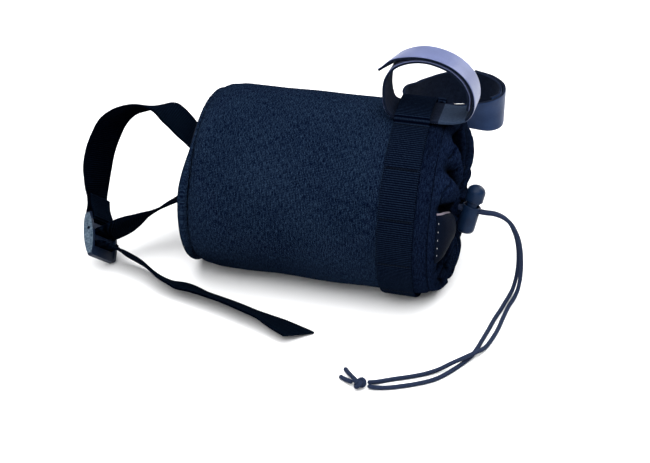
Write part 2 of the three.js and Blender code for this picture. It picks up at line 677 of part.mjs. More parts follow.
// Knot: a lump whose surface rises and falls with the wraps of the cord
const knot = { centre: new THREE.Vector3(49.8, -114.6, 3.6), size: new THREE.Vector3(4.2, 4.4, 3.5) };
const knotBall = new THREE.SphereGeometry(1, 16, 10);
const knotPlace = knotBall.getAttribute('position');
const knotPoint = new THREE.Vector3();
for (let i = 0; i < knotPlace.count; i += 1) {
  knotPoint.fromBufferAttribute(knotPlace, i);
  const around = Math.atan2(knotPoint.z, knotPoint.x);
  const hollow = 0.06 * (1 - knotPoint.y ** 2) * (1 - Math.cos(3 * around + 2 * knotPoint.y));
  knotPoint.multiplyScalar(1 - hollow).multiply(knot.size).add(knot.centre);
  knotPlace.setXYZ(i, knotPoint.x, knotPoint.y, knotPoint.z);
}
addPiece('cord_knot', knotBall, braid);

export default bag;
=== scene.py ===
import bmesh
import bpy
import math
from mathutils import Matrix, Vector, noise


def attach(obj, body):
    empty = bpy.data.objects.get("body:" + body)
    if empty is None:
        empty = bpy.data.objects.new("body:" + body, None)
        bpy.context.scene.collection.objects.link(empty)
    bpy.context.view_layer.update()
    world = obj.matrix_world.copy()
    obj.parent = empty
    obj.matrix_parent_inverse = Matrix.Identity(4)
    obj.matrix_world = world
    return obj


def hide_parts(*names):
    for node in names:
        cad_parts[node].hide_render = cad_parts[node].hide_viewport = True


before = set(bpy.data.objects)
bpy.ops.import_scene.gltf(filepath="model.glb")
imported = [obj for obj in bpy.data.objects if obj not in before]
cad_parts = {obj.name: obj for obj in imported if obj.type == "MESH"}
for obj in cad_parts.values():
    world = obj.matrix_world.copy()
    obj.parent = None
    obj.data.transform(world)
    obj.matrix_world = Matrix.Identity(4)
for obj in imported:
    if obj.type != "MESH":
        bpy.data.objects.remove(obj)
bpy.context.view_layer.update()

mm = 0.001
samePoint = 1e-4   # root of the distance under which two points count as one
weldGap = 1e-7     # metres

# Bag measures in millimetres
bag = {
    "radius": 54.5,
    "pressed": 3.0,       # underside flattened by its own weight
    "wall": 3.9,
    "baseSeam": -64.0,
    "collarSeam": 72.0,
    "baseTilt": 0.03,     # base leans in at the top
    "tiltEnd": -30.0,
    "gap": 0.3,
    "bandStart": 44.7,
    "webWidth": 20.0,
    "webThick": 1.5,
    "tackStep": 28.7,     # degrees between two bar tacks of the band
    "firstTack": 16.4,
    "loopLift": 4.2,
}
axisHeight = bag["radius"] - bag["pressed"]
bandEnd = bag["bandStart"] + bag["webWidth"]
frontLoop = bag["firstTack"] - bag["tackStep"] / 2
rearLoop = frontLoop - 2 * bag["tackStep"]


# Small helpers
def ease(value, low, high):
    share = min(max((value - low) / (high - low), 0.0), 1.0)
    return share * share * (3 - 2 * share)


def mix(a, b, share):
    return a + (b - a) * share


def apart(turn, other):
    return abs((turn - other + 180) % 360 - 180)


def betweenEdges(x, low, high, soft):
    return ease(x, low - soft, low) * (1 - ease(x, high, high + soft))


def table(columns, rows):
    # Rows that are read by the names of their columns
    return [dict(zip(columns, row)) for row in rows]


def rowValue(rows, key, x):
    # Smoothed reading of a short table that is sorted by x
    for here, after in zip(rows, rows[1:]):
        if x <= after["x"]:
            return mix(here[key], after[key], ease(x, here["x"], after["x"]))
    return rows[-1][key]


def leanAt(x, height):
    return bag["baseTilt"] * (height - axisHeight) * (1 - ease(x, bag["baseSeam"], bag["tiltEnd"]))


def drumPoint(x, radius, turn, floor):
    # turn is in degrees from straight up towards the front
    angle = math.radians(turn)
    height = axisHeight + radius * math.cos(angle)
    if floor is not None:
        height = max(height, floor)
    return Vector((x + leanAt(x, height), -radius * math.sin(angle), height))


def cubic(start, end, startSlope, endSlope, t):
    c2 = -3 * start + 3 * end - 2 * startSlope - endSlope
    c3 = 2 * start - 2 * end + startSlope + endSlope
    return start + startSlope * t + c2 * t * t + c3 * t * t * t


def spanAt(count, share):
    # Index of a stretch between two of the points, and how far along it
    place = min(max(share, 0.0), 1.0) * (count - 1)
    i = min(int(place), count - 2)
    return i, place - i


def curvePoint(points, share):
    # Centripetal curve through the points
    i, t = spanAt(len(points), share)
    p1, p2 = points[i], points[i + 1]
    p0 = points[i - 1] if i > 0 else 2 * p1 - p2
    p3 = points[i + 2] if i + 2 < len(points) else 2 * p2 - p1
    d0, d1, d2 = ((b - a).length ** 0.5 for a, b in ((p0, p1), (p1, p2), (p2, p3)))
    if d1 < samePoint:
        return p1.copy()
    d0 = d0 if d0 > samePoint else d1
    d2 = d2 if d2 > samePoint else d1
    slope1 = ((p1 - p0) / d0 - (p2 - p0) / (d0 + d1) + (p2 - p1) / d1) * d1
    slope2 = ((p2 - p1) / d1 - (p3 - p1) / (d1 + d2) + (p3 - p2) / d2) * d1
    return cubic(p1, p2, slope1, slope2, t)


def bentGrid(columns, rows, place, uvSize, closedRound=False, flip=False):
    # A flat grid bent into shape by place(u, v); UVs are in metres on the flat cloth
    bm = bmesh.new()
    bmesh.ops.create_grid(bm, x_segments=columns, y_segments=rows, size=0.5)
    uv = bm.loops.layers.uv.new("UVMap")
    for face in bm.faces:
        for loop in face.loops:
            loop[uv].uv = ((loop.vert.co.x + 0.5) * uvSize[0], (loop.vert.co.y + 0.5) * uvSize[1])
    for vert in bm.verts:
        vert.co = place(vert.co.x + 0.5, vert.co.y + 0.5)
    if closedRound:
        bmesh.ops.remove_doubles(bm, verts=bm.verts, dist=weldGap)
    if flip:
        bmesh.ops.reverse_faces(bm, faces=bm.faces)
    bm.normal_update()
    return bm


def addPiece(name, bm, materials, slot, body="bag", replaced=()):
    mesh = bpy.data.meshes.new(name)
    bm.to_mesh(mesh)
    bm.free()
    for material in materials:
        mesh.materials.append(material)
    for polygon in mesh.polygons:
        polygon.use_smooth = True
    piece = bpy.data.objects.new(name, mesh)
    bpy.context.scene.collection.objects.link(piece)
    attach(piece, body)
    if replaced:
        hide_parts(*replaced)
    return piece


def thicken(piece, thick, inner=0, rim=0):
    # Inwards from the modelled face
    wall = piece.modifiers.new("Wall", "SOLIDIFY")
    wall.thickness = thick
    wall.offset = -1
    wall.material_offset = inner
    wall.material_offset_rim = rim


def softenEdges(piece, width, segments=2, angle=50):
    edge = piece.modifiers.new("Edge", "BEVEL")
    edge.width = width
    edge.segments = segments
    edge.profile = 0.5
    edge.limit_method = "ANGLE"
    edge.angle_limit = math.radians(angle)


# Material helpers
dyeDepth = 0.667   # all colours are darkened together, to suit the bright floor


def newMaterial(name, look):
    material = bpy.data.materials.new(name)
    material.use_nodes = True
    sockets = material.node_tree.nodes["Principled BSDF"].inputs
    sockets["Roughness"].default_value = look["roughness"]
    sockets["Specular IOR Level"].default_value = look["specular"]
    if "sheen" in look:
        weight, roughness, tint = look["sheen"]
        sockets["Sheen Weight"].default_value = weight
        sockets["Sheen Roughness"].default_value = roughness
        sockets["Sheen Tint"].default_value = (*tint, 1)
    return material, sockets


def mathNode(tree, operation, a, b=None):
    made = tree.nodes.new("ShaderNodeMath")
    made.operation = operation
    for socket, value in zip(made.inputs, (a, b)):
        if isinstance(value, (int, float)):
            socket.default_value = value
        elif value is not None:
            tree.links.new(value, socket)
    return made.outputs[0]


def weighed(tree, *parts):
    # Sum of patterns, each with its share
    total = 0.0
    for pattern, share in parts:
        total = mathNode(tree, "ADD", total, mathNode(tree, "MULTIPLY", pattern, share))
    return total


def clothUv(tree):
    where = tree.nodes.new("ShaderNodeUVMap")
    where.uv_map = "UVMap"
    return where.outputs["UV"]


def clothAxes(tree):
    split = tree.nodes.new("ShaderNodeSeparateXYZ")
    tree.links.new(clothUv(tree), split.inputs[0])
    return split.outputs["X"], split.outputs["Y"]


def noiseOn(tree, where, scale, detail, roughness):
    spots = tree.nodes.new("ShaderNodeTexNoise")
    spots.inputs["Scale"].default_value = scale
    spots.inputs["Detail"].default_value = detail
    spots.inputs["Roughness"].default_value = roughness
    tree.links.new(where, spots.inputs["Vector"])
    return spots.outputs["Fac"]


def speckle(tree, scale, detail=2.0, roughness=0.5):
    where = tree.nodes.new("ShaderNodeTexCoord")
    return noiseOn(tree, where.outputs["Object"], scale, detail, roughness)


def streaks(tree, scales, detail=2.0, roughness=0.5):
    # Uneven threads: noise drawn out along one direction of the cloth
    stretch = tree.nodes.new("ShaderNodeMapping")
    stretch.inputs["Scale"].default_value = (*scales, 1)
    tree.links.new(clothUv(tree), stretch.inputs["Vector"])
    return noiseOn(tree, stretch.outputs["Vector"], 1.0, detail, roughness)


def threadSine(tree, along, pitch):
    return mathNode(tree, "SINE", mathNode(tree, "MULTIPLY", along, math.pi / pitch))


def threadWave(tree, along, pitch):
    # 0 in the valley between two threads, 1 on a thread
    return mathNode(tree, "ABSOLUTE", threadSine(tree, along, pitch))


def colourBetween(tree, factor, stops):
    ramp = tree.nodes.new("ShaderNodeValToRGB")
    points = ramp.color_ramp.elements
    while len(points) < len(stops):
        points.new(0.5)
    for point, (at, colour) in zip(points, stops):
        point.position = at
        point.color = (*[part * dyeDepth for part in colour], 1)
    tree.links.new(factor, ramp.inputs["Fac"])
    return ramp.outputs["Color"]


def paintedFoldShade(tree, colour, low, high):
    # Painted shade, darker down in the folds, and a painted highlight, paler on the ridges
    fold = tree.nodes.new("ShaderNodeAttribute")
    fold.attribute_name = "foldShade"
    scaled = tree.nodes.new("ShaderNodeVectorMath")
    scaled.operation = "SCALE"
    amount = mathNode(tree, "ADD", mathNode(tree, "MULTIPLY", fold.outputs["Fac"], high - low), low)
    tree.links.new(colour, scaled.inputs[0])
    tree.links.new(amount, scaled.inputs["Scale"])
    return scaled.outputs["Vector"]


def dyed(name, look, pattern):
    # pattern(tree, look) gives what sets the colour and what sets the height
    material, sockets = newMaterial(name, look)
    tree = material.node_tree
    mixed, height = pattern(tree, look)
    colour = colourBetween(tree, mixed, look["stops"])
    if "foldShade" in look:
        colour = paintedFoldShade(tree, colour, *look["foldShade"])
    bump = tree.nodes.new("ShaderNodeBump")
    bump.inputs["Strength"].default_value = look["bump"]
    bump.inputs["Distance"].default_value = look["bumpDepth"]
    tree.links.new(height, bump.inputs["Height"])
    tree.links.new(bump.outputs["Normal"], sockets["Normal"])
    tree.links.new(colour, sockets["Base Color"])
    return material


# Woven bag cloth: coarse plain weave with a grainy, slightly hairy thread
clothLook = {
    "roughness": 0.88, "specular": 0.0, "sheen": (0.004, 0.5, (0.45, 0.6, 0.9)),
    "pitch": 0.00085, "knuckle": 0.6, "weaveShare": 0.18, "weaveRise": 0.5,
    "slub": (320.0, 1900.0), "slubShare": 0.55, "crossSlub": (2100.0, 800.0), "crossShare": 0.3,
    "grainScale": 1900.0, "grainDetail": 3.0, "grainRoughness": 0.65, "grainShare": 0.5,
    "cloudScale": 24.0, "cloudShare": 0.12, "bump": 0.8, "bumpDepth": 0.0003,
    "stops": [
        (0.66, (0.0004, 0.001, 0.006)), (0.8, (0.0015, 0.0046, 0.0165)), (0.98, (0.0168, 0.0325, 0.061)),
    ],
}
collarLook = {
    **clothLook, "pitch": 0.0006, "bump": 0.6,
    "stops": [
        (0.66, (0.0003, 0.0006, 0.0042)), (0.8, (0.001, 0.0026, 0.0112)), (0.98, (0.0092, 0.0178, 0.041)),
    ],
}
liningLook = {
    **clothLook, "pitch": 0.0004, "grainScale": 1400.0, "bump": 0.25,
    "stops": [(0.55, (0.004, 0.006, 0.012)), (0.85, (0.014, 0.018, 0.03))],
}


def wovenCloth(tree, look):
    crossing = mathNode(tree, "MULTIPLY", *[threadSine(tree, axis, look["pitch"]) for axis in clothAxes(tree)])
    knuckle = mathNode(tree, "POWER", mathNode(tree, "ABSOLUTE", crossing), look["knuckle"])
    slubs = streaks(tree, look["slub"])
    crossSlubs = streaks(tree, look["crossSlub"])
    grain = speckle(tree, look["grainScale"], look["grainDetail"], look["grainRoughness"])
    cloudy = speckle(tree, look["cloudScale"])
    mixed = weighed(tree, (knuckle, look["weaveShare"]), (slubs, look["slubShare"]),
                    (crossSlubs, look["crossShare"]), (grain, look["grainShare"]), (cloudy, look["cloudShare"]))
    hairy = mathNode(tree, "ADD", grain, slubs)
    return mixed, mathNode(tree, "ADD", mathNode(tree, "MULTIPLY", crossing, look["weaveRise"]), hairy)


bagCloth = dyed("bagCloth", clothLook, wovenCloth)
collarCloth = dyed("collarCloth", collarLook, wovenCloth)
# Collar cloth with painted shade in its folds and a painted highlight on its ridges
foldedCloth = dyed("foldedCloth", {**collarLook, "foldShade": (0.1, 1.25)}, wovenCloth)
liningCloth = dyed("liningCloth", liningLook, wovenCloth)

# Ribbed webbing: ribs are in the mesh, this adds the threads, and painted shade in the valleys between the ribs
webLook = {
    "roughness": 0.7, "specular": 0.0, "sheen": (0.004, 0.4, (0.5, 0.62, 0.9)),
    "ribPitch": 0.00125, "ribShare": 0.62, "threadPitch": 0.0008, "threadShare": 0.14, "threadRise": 0.6,
    "grainScale": 1300.0, "grainShare": 0.3, "grainRise": 0.5, "bump": 0.5, "bumpDepth": 0.00016,
    "stops": [
        (0.45, (0.0004, 0.0009, 0.0043)), (0.74, (0.0019, 0.0042, 0.0125)), (0.98, (0.0135, 0.0255, 0.048)),
    ],
}
strapLook = {
    **webLook,
    "stops": [
        (0.45, (0.0001, 0.0003, 0.0014)), (0.76, (0.0007, 0.002, 0.0055)), (0.98, (0.007, 0.0145, 0.028)),
    ],
}


def ribbedWebbing(tree, look):
    u, v = clothAxes(tree)
    # Painted shade in the valleys between the mesh's ribs and a painted highlight on their tops
    rib = threadWave(tree, v, look["ribPitch"])
    thread = threadWave(tree, u, look["threadPitch"])
    grain = speckle(tree, look["grainScale"])
    mixed = weighed(tree, (rib, look["ribShare"]), (thread, look["threadShare"]), (grain, look["grainShare"]))
    return mixed, weighed(tree, (thread, look["threadRise"]), (grain, look["grainRise"]))


bandWeb = dyed("bandWeb", webLook, ribbedWebbing)
strapWeb = dyed("strapWeb", strapLook, ribbedWebbing)

# Hook-and-loop tape: a smooth satin back and a fuzzy inside
backLook = {
    "roughness": 0.32, "specular": 0.1, "sheen": (0.05, 0.3, (0.75, 0.85, 1.0)),
    "weftPitch": 0.0006, "weftShare": 0.25, "warpPitch": 0.0011, "warpRise": 0.5,
    "cloudScale": 90.0, "cloudDetail": 3.0, "cloudShare": 0.6, "bump": 0.22, "bumpDepth": 0.00012,
    "stops": [(0.2, (0.1, 0.122, 0.24)), (0.7, (0.165, 0.195, 0.375))],
}
# Painted shade: a darker, less glossy copy of the same tape back, for the rear ring that sits in shade
shadedBackLook = {
    **backLook, "specular": 0.03,
    "stops": [(0.2, (0.011, 0.026, 0.074)), (0.7, (0.028, 0.056, 0.14))],
}
pileLook = {
    "roughness": 0.95, "specular": 0.015, "sheen": (0.03, 0.5, (0.5, 0.62, 0.95)),
    "hairScale": 1500.0, "hairDetail": 4.0, "hairRoughness": 0.7, "hairShare": 0.6,
    "tuftScale": 420.0, "tuftShare": 0.4, "bump": 0.9, "bumpDepth": 0.0006,
    "stops": [(0.3, (0.0014, 0.003, 0.009)), (0.75, (0.008, 0.0135, 0.03))],
}


def smoothTape(tree, look):
    u, v = clothAxes(tree)
    weft = threadWave(tree, v, look["weftPitch"])
    warp = threadWave(tree, u, look["warpPitch"])
    cloudy = speckle(tree, look["cloudScale"], look["cloudDetail"])
    mixed = weighed(tree, (weft, look["weftShare"]), (cloudy, look["cloudShare"]))
    return mixed, mathNode(tree, "ADD", weft, mathNode(tree, "MULTIPLY", warp, look["warpRise"]))


def fuzzyTape(tree, look):
    hairs = speckle(tree, look["hairScale"], look["hairDetail"], look["hairRoughness"])
    mixed = weighed(tree, (hairs, look["hairShare"]), (speckle(tree, look["tuftScale"]), look["tuftShare"]))
    return mixed, mixed


tapeBack = dyed("tapeBack", backLook, smoothTape)
shadedTapeBack = dyed("shadedTapeBack", shadedBackLook, smoothTape)
tapePile = dyed("tapePile", pileLook, fuzzyTape)

# Moulded plastic of the buckle and the cord lock
buckleLook = {
    "roughness": 0.42, "specular": 0.08, "grainScale": 2200.0, "grainShare": 0.35,
    "patchScale": 120.0, "patchDetail": 3.0, "bump": 0.175, "bumpDepth": 0.0001,
    "stops": [(0.3, (0.004, 0.009, 0.024)), (0.72, (0.009, 0.018, 0.042))],
}
gripHighlightLook = {   # rough side grip, painted paler as a painted highlight where light falls on the rails
    **buckleLook, "roughness": 0.5, "grainScale": 900.0, "grainShare": 0.85, "bump": 0.425,
    "stops": [(0.3, (0.012, 0.028, 0.052)), (0.72, (0.12, 0.165, 0.215))],
}
lockLook = {
    **buckleLook, "roughness": 0.36,
    "stops": [(0.3, (0.0034, 0.0105, 0.031)), (0.72, (0.009, 0.0245, 0.064))],
}


def mouldedPlastic(tree, look):
    fine = speckle(tree, look["grainScale"])
    patchy = speckle(tree, look["patchScale"], look["patchDetail"])
    return weighed(tree, (fine, look["grainShare"]), (patchy, 1 - look["grainShare"])), fine


bucklePlastic = dyed("bucklePlastic", buckleLook, mouldedPlastic)
gripHighlightPlastic = dyed("gripHighlightPlastic", gripHighlightLook, mouldedPlastic)
lockPlastic = dyed("lockPlastic", lockLook, mouldedPlastic)

# Braided cord: two sets of strands that cross, on the cord's own UVs
braidLook = {
    "roughness": 0.75, "specular": 0.03, "sheen": (0.02, 0.4, (0.6, 0.7, 1.0)), "pitch": 0.00096,
    "braidShare": 0.6, "grainScale": 1600.0, "grainShare": 0.4, "bump": 0.6, "bumpDepth": 0.0002,
    "stops": [
        (0.35, (0.004, 0.0072, 0.0175)), (0.65, (0.0122, 0.0192, 0.0446)), (0.95, (0.0313, 0.0456, 0.091)),
    ],
}


def braidedCord(tree, look):
    u, v = clothAxes(tree)
    oneWay = threadWave(tree, mathNode(tree, "ADD", u, v), look["pitch"])
    otherWay = threadWave(tree, mathNode(tree, "SUBTRACT", u, v), look["pitch"])
    braid = mathNode(tree, "MAXIMUM", oneWay, otherWay)
    mixed = weighed(tree, (braid, look["braidShare"]), (speckle(tree, look["grainScale"]), look["grainShare"]))
    return mixed, mixed


cordBraid = dyed("cordBraid", braidLook, braidedCord)

# Sewing thread, and the close weave of the label and of the hook patch, whose pale colour is a painted highlight
darkThreadLook = {
    "roughness": 0.7, "specular": 0.02, "twistScale": 3200.0, "twistDetail": 1.0, "bump": 0.4, "bumpDepth": 0.0001,
    "stops": [(0.35, (0.0004, 0.001, 0.0034)), (0.7, (0.0026, 0.0056, 0.0125))],
}
paleThreadLook = {
    **darkThreadLook, "specular": 0.1,
    "stops": [(0.35, (0.3, 0.32, 0.36)), (0.7, (0.55, 0.56, 0.6))],
}
ribbonLook = {
    "roughness": 0.6, "specular": 0.008, "pitch": (0.00045, 0.0003), "weaveShare": 0.5,
    "grainScale": 900.0, "grainShare": 0.5, "bump": 0.4, "bumpDepth": 0.0001,
    "stops": [(0.2, (0.0008, 0.002, 0.0065)), (0.75, (0.0036, 0.007, 0.0165))],
}
# Hook patch, painted paler as a painted highlight where light falls inside the front ring's bottom
hookHighlightLook = {**ribbonLook, "stops": [(0.2, (0.014, 0.025, 0.05)), (0.75, (0.052, 0.075, 0.125))]}
edgeLook = {**ribbonLook, "stops": [(0.2, (0.12, 0.1, 0.13)), (0.75, (0.32, 0.29, 0.34))]}


def sewingThread(tree, look):
    twist = speckle(tree, look["twistScale"], look["twistDetail"])
    return twist, twist


def ribbonCloth(tree, look):
    fine = mathNode(tree, "MULTIPLY", *[threadWave(tree, *pair) for pair in zip(clothAxes(tree), look["pitch"])])
    mixed = weighed(tree, (fine, look["weaveShare"]), (speckle(tree, look["grainScale"]), look["grainShare"]))
    return mixed, mixed


darkThread = dyed("darkThread", darkThreadLook, sewingThread)
paleThread = dyed("paleThread", paleThreadLook, sewingThread)
labelCloth = dyed("labelCloth", ribbonLook, ribbonCloth)
hookPatchHighlight = dyed("hookPatchHighlight", hookHighlightLook, ribbonCloth)
labelEdge = dyed("labelEdge", edgeLook, ribbonCloth)
print("materials ready")


# Camera at the photograph's place
view = {
    "place": (0.1744, -0.6804, 0.4544), "azimuth": 14.17, "elevation": 31.73,
    "focalPixels": 1400, "frameWidth": 650, "sensor": 36,
}
cameraData = bpy.data.cameras.new("photoCamera")
cameraData.lens = view["focalPixels"] * view["sensor"] / view["frameWidth"]
cameraData.sensor_width = view["sensor"]
camera = bpy.data.objects.new("photoCamera", cameraData)
camera.location = view["place"]
camera.rotation_euler = (math.radians(90 - view["elevation"]), 0, math.radians(view["azimuth"]))
bpy.context.scene.collection.objects.link(camera)
bpy.context.scene.camera = camera

# Stage: white floor, white surround, soft lights
stageLook = {
    "floorSize": 6.0, "floorColour": (0.82, 0.825, 0.835), "roughness": 0.9, "specular": 0.1, "worldStrength": 0.3,
    "lamps": table(("name", "place", "aim", "size", "power"), [
        ("topSoft", (0.1, -0.25, 1.3), (0.0, -0.03, 0.0), 1.9, 57.0),
        ("frontSoft", (-0.2, -1.1, 0.85), (0.0, -0.1, 0.0), 1.0, 7.5),
        ("backSoft", (0.72, 1.15, 0.6), (0.06, 0.0, 0.12), 0.6, 11.0),
    ]),
}
floorMesh = bmesh.new()
bmesh.ops.create_grid(floorMesh, x_segments=1, y_segments=1, size=stageLook["floorSize"])
floorData = bpy.data.meshes.new("floor")
floorMesh.to_mesh(floorData)
floorMesh.free()
floor = bpy.data.objects.new("floor", floorData)
bpy.context.scene.collection.objects.link(floor)
floorPaper, floorSockets = newMaterial("floorPaper", stageLook)
floorSockets["Base Color"].default_value = (*stageLook["floorColour"], 1)
floorData.materials.append(floorPaper)

world = bpy.data.worlds.new("studio")
world.use_nodes = True
surround = world.node_tree.nodes["Background"]
surround.inputs["Color"].default_value = (1, 1, 1, 1)
surround.inputs["Strength"].default_value = stageLook["worldStrength"]
bpy.context.scene.world = world
for lamp in stageLook["lamps"]:
    data = bpy.data.lights.new(lamp["name"], "AREA")
    data.shape = "SQUARE"
    data.size = lamp["size"]
    data.energy = lamp["power"]
    light = bpy.data.objects.new(lamp["name"], data)
    light.location = lamp["place"]
    aim = Vector(lamp["aim"]) - Vector(lamp["place"])
    light.rotation_euler = aim.to_track_quat("-Z", "Y").to_euler()
    bpy.context.scene.collection.objects.link(light)
bpy.context.scene.view_settings.view_transform = "Standard"
print("stage ready")


# Draw cords: routes in metres, from the mouth through the lock to the knot, and the two tails past it
cordLook = {
    "radius": 0.00122, "relief": 0.00009, "step": 0.00048, "fewestRows": 6, "sides": 16, "strands": 8,
    "perSpan": 10, "firstSide": (0.3, 0.2, 1), "blunt": 0.02,
}
cordPitch = 2 * math.pi * cordLook["radius"] / cordLook["strands"]
cordRoutes = {
    "drawCordA": [
        (0.0805, -0.0084, 0.0535), (0.0887, -0.0084, 0.0525), (0.0964, -0.0083, 0.0517),
        (0.102, -0.0081, 0.0516), (0.107, -0.0079, 0.0502), (0.1114, -0.0076, 0.0468),
        (0.1146, -0.0075, 0.0418), (0.117, -0.0075, 0.036), (0.1184, -0.0075, 0.0296),
        (0.1192, -0.0076, 0.023), (0.1196, -0.008, 0.016), (0.1194, -0.009, 0.0094),
        (0.1186, -0.0118, 0.0044), (0.1172, -0.016, 0.002), (0.1158, -0.0214, 0.0014),
        (0.1149, -0.0275, 0.0013), (0.1139, -0.036, 0.0013), (0.113, -0.045, 0.0013),
        (0.111, -0.056, 0.0013), (0.1084, -0.066, 0.002), (0.1042, -0.0745, 0.004),
        (0.0995, -0.081, 0.0046), (0.094, -0.0864, 0.004), (0.088, -0.091, 0.0022),
        (0.082, -0.0952, 0.0014), (0.076, -0.0989, 0.0013), (0.0643, -0.105, 0.0013),
        (0.058, -0.1088, 0.0015), (0.0536, -0.1116, 0.0024),
    ],
    "drawCordB": [
        (0.0805, -0.0057, 0.053), (0.0887, -0.0056, 0.0519), (0.0964, -0.0056, 0.051),
        (0.1018, -0.0054, 0.0508), (0.1065, -0.0052, 0.0491), (0.1106, -0.0049, 0.0456),
        (0.1134, -0.0048, 0.0406), (0.1154, -0.0047, 0.035), (0.1166, -0.0046, 0.0288),
        (0.1172, -0.0046, 0.0224), (0.1173, -0.0048, 0.0156), (0.1168, -0.0058, 0.0092),
        (0.1158, -0.0088, 0.0042), (0.1144, -0.0136, 0.0019), (0.113, -0.02, 0.0014),
        (0.1116, -0.0275, 0.0013), (0.1096, -0.037, 0.0013), (0.108, -0.047, 0.0013),
        (0.106, -0.0582, 0.0013), (0.1044, -0.067, 0.0013), (0.1024, -0.0745, 0.0013),
        (0.0994, -0.081, 0.0013), (0.0956, -0.0876, 0.0013), (0.091, -0.0945, 0.0013),
        (0.0865, -0.0995, 0.0013), (0.08, -0.1042, 0.0013), (0.072, -0.1086, 0.0013),
        (0.065, -0.1118, 0.0013), (0.0586, -0.1136, 0.0015), (0.0543, -0.1146, 0.0023),
    ],
    "cordTailA": [
        (0.0478, -0.1126, 0.0034), (0.0446, -0.1088, 0.0027), (0.0415, -0.1046, 0.0017),
        (0.039, -0.1012, 0.0014),
    ],
    "cordTailB": [
        (0.0462, -0.1141, 0.003), (0.0432, -0.1121, 0.0022), (0.0404, -0.1102, 0.0015),
        (0.0378, -0.1086, 0.0014),
    ],
}
knotLook = {"centre": (0.0498, -0.1146, 0.0036), "reach": 0.00098, "rise": 0.0011, "points": 24}


def along(samples):
    reach = [0.0]
    for a, b in zip(samples, samples[1:]):
        reach.append(reach[-1] + (b - a).length)
    return reach


def whereOn(reach, far):
    # Index and share of the stretch that holds this distance
    low, high = 0, len(reach) - 1
    while high - low > 1:
        middle = (low + high) // 2
        if reach[middle] <= far:
            low = middle
        else:
            high = middle
    return low, (far - reach[low]) / max(reach[high] - reach[low], 1e-12)


def tubeAlong(points):
    # A round cord with its braid standing a little proud, closed at both ends
    count = (len(points) - 1) * cordLook["perSpan"]
    samples = [curvePoint(points, i / count) for i in range(count + 1)]
    reach = along(samples)
    length = reach[-1]
    radius = cordLook["radius"]
    frames = []
    side = Vector(cordLook["firstSide"]).cross(samples[1] - samples[0]).normalized()
    for i, here in enumerate(samples):
        tangent = (samples[min(i + 1, count)] - samples[max(i - 1, 0)]).normalized()
        side = (side - tangent * side.dot(tangent)).normalized()
        frames.append((here, side.copy(), tangent.cross(side)))

    def place(u, v):
        far = v * length
        i, share = whereOn(reach, far)
        centre, one, two = (a.lerp(b, share) for a, b in zip(frames[i], frames[i + 1]))
        strand, lay = u * cordLook["strands"], far / cordPitch
        ridge = max(abs(math.sin(math.pi * (strand + lay))), abs(math.sin(math.pi * (strand - lay))))
        fromEnd = max(1 - min(far, length - far) / radius, 0.0)
        rounding = math.sqrt(max(1 - fromEnd ** 2, cordLook["blunt"]))
        around = (radius - cordLook["relief"] * (1 - ridge)) * rounding
        return centre + (one * math.cos(2 * math.pi * u) + two * math.sin(2 * math.pi * u)) * around

    rows = max(cordLook["fewestRows"], round(length / cordLook["step"]))
    bm = bentGrid(cordLook["sides"], rows, place, (2 * math.pi * radius, length), closedRound=True)
    bmesh.ops.holes_fill(bm, edges=[edge for edge in bm.edges if edge.is_boundary], sides=0)
    bmesh.ops.recalc_face_normals(bm, faces=bm.faces)
    return bm, samples, length


for name, node in (("drawCordA", "draw_cord_a"), ("drawCordB", "draw_cord_b"),
                   ("cordTailA", "cord_tail_a"), ("cordTailB", "cord_tail_b")):
    route = [Vector(point) for point in cordRoutes[name]]
    bm, samples, length = tubeAlong(route)
    piece = addPiece(name, bm, [cordBraid], "cord", replaced=(node,))

# Knot: the cord wound over itself three times
knotPath = []
for i in range(knotLook["points"] + 1):
    t = 2 * math.pi * i / knotLook["points"]
    wind = Vector((math.sin(t) + 2 * math.sin(2 * t), math.cos(t) - 2 * math.cos(2 * t), 0)) * knotLook["reach"]
    wind.z = -math.sin(3 * t) * knotLook["rise"]
    knotPath.append(Vector(knotLook["centre"]) + wind)
knot = addPiece("cordKnot", tubeAlong(knotPath)[0], [cordBraid], "cord", replaced=("cord_knot",))
print("cords laid")


# Stitches: small stretched balls gathered in one mesh per thread
stitchMeshes = {"dark": bmesh.new(), "pale": bmesh.new()}


def addStitch(thread, centre, forward, up, size):
    # size is length, width and height in millimetres
    forward = forward.normalized()
    side = up.cross(forward).normalized()
    up = forward.cross(side)
    shape = Matrix((forward * size[0], side * size[1], up * size[2])).transposed() * (mm / 2)
    placed = Matrix.Translation(centre) @ shape.to_4x4()
    bmesh.ops.create_uvsphere(stitchMeshes[thread], u_segments=6, v_segments=4, radius=1.0, matrix=placed)


def surfaceFrame(place, a, b, step):
    # Point, the two directions and the normal of a surface place(a, b)
    here = place(a, b)
    first = (place(a + step[0], b) - place(a - step[0], b)).normalized()
    second = (place(a, b + step[1]) - place(a, b - step[1])).normalized()
    return here, first, second, first.cross(second).normalized()


# Padded drum: outer cloth, foam and lining as one thick wall
tackTurns = [bag["firstTack"] + bag["tackStep"] * k for k in range(-3, 10)]
drum = {
    "columns": 260, "rows": 150,
    "profile": table(("x", "radius"), [
        (-64.0, 50.6), (-62.2, 52.1), (-58.5, 53.5), (-50.0, 54.4), (64.0, 54.4), (68.5, 53.7), (72.0, 51.9),
    ]),
    "lump": 0.8, "lumpSize": 30.0, "lumpsRound": 1.5, "lumpLevel": 0.4,
    "bandPress": 0.25, "pressSoft": 2.0, "bandRoom": 1.0,
    "tackPull": 0.8, "tackTurn": 4.5, "tackReach": 5.0, "tackLimit": 12,
    "seamPuckers": 52, "puckerDepth": 0.5, "puckerStray": 3, "strayGrain": 2.3,
    "baseReach": 4.0, "collarReach": 3.0, "collarPucker": 0.8,
    "dents": table(("x", "turn", "long", "wide", "sink"), [   # slack cloth between the band and the collar seam
        (69.2, 28, 2.4, 6, 3.2), (69.5, 47, 2.2, 5, 1.0), (69.5, 88, 2.4, 6, 1.2), (69.5, 230, 2.6, 8, 1.6),
        (69.5, 290, 2.4, 6, 1.4), (69.5, 345, 2.4, 7, 1.4),
    ]),
}


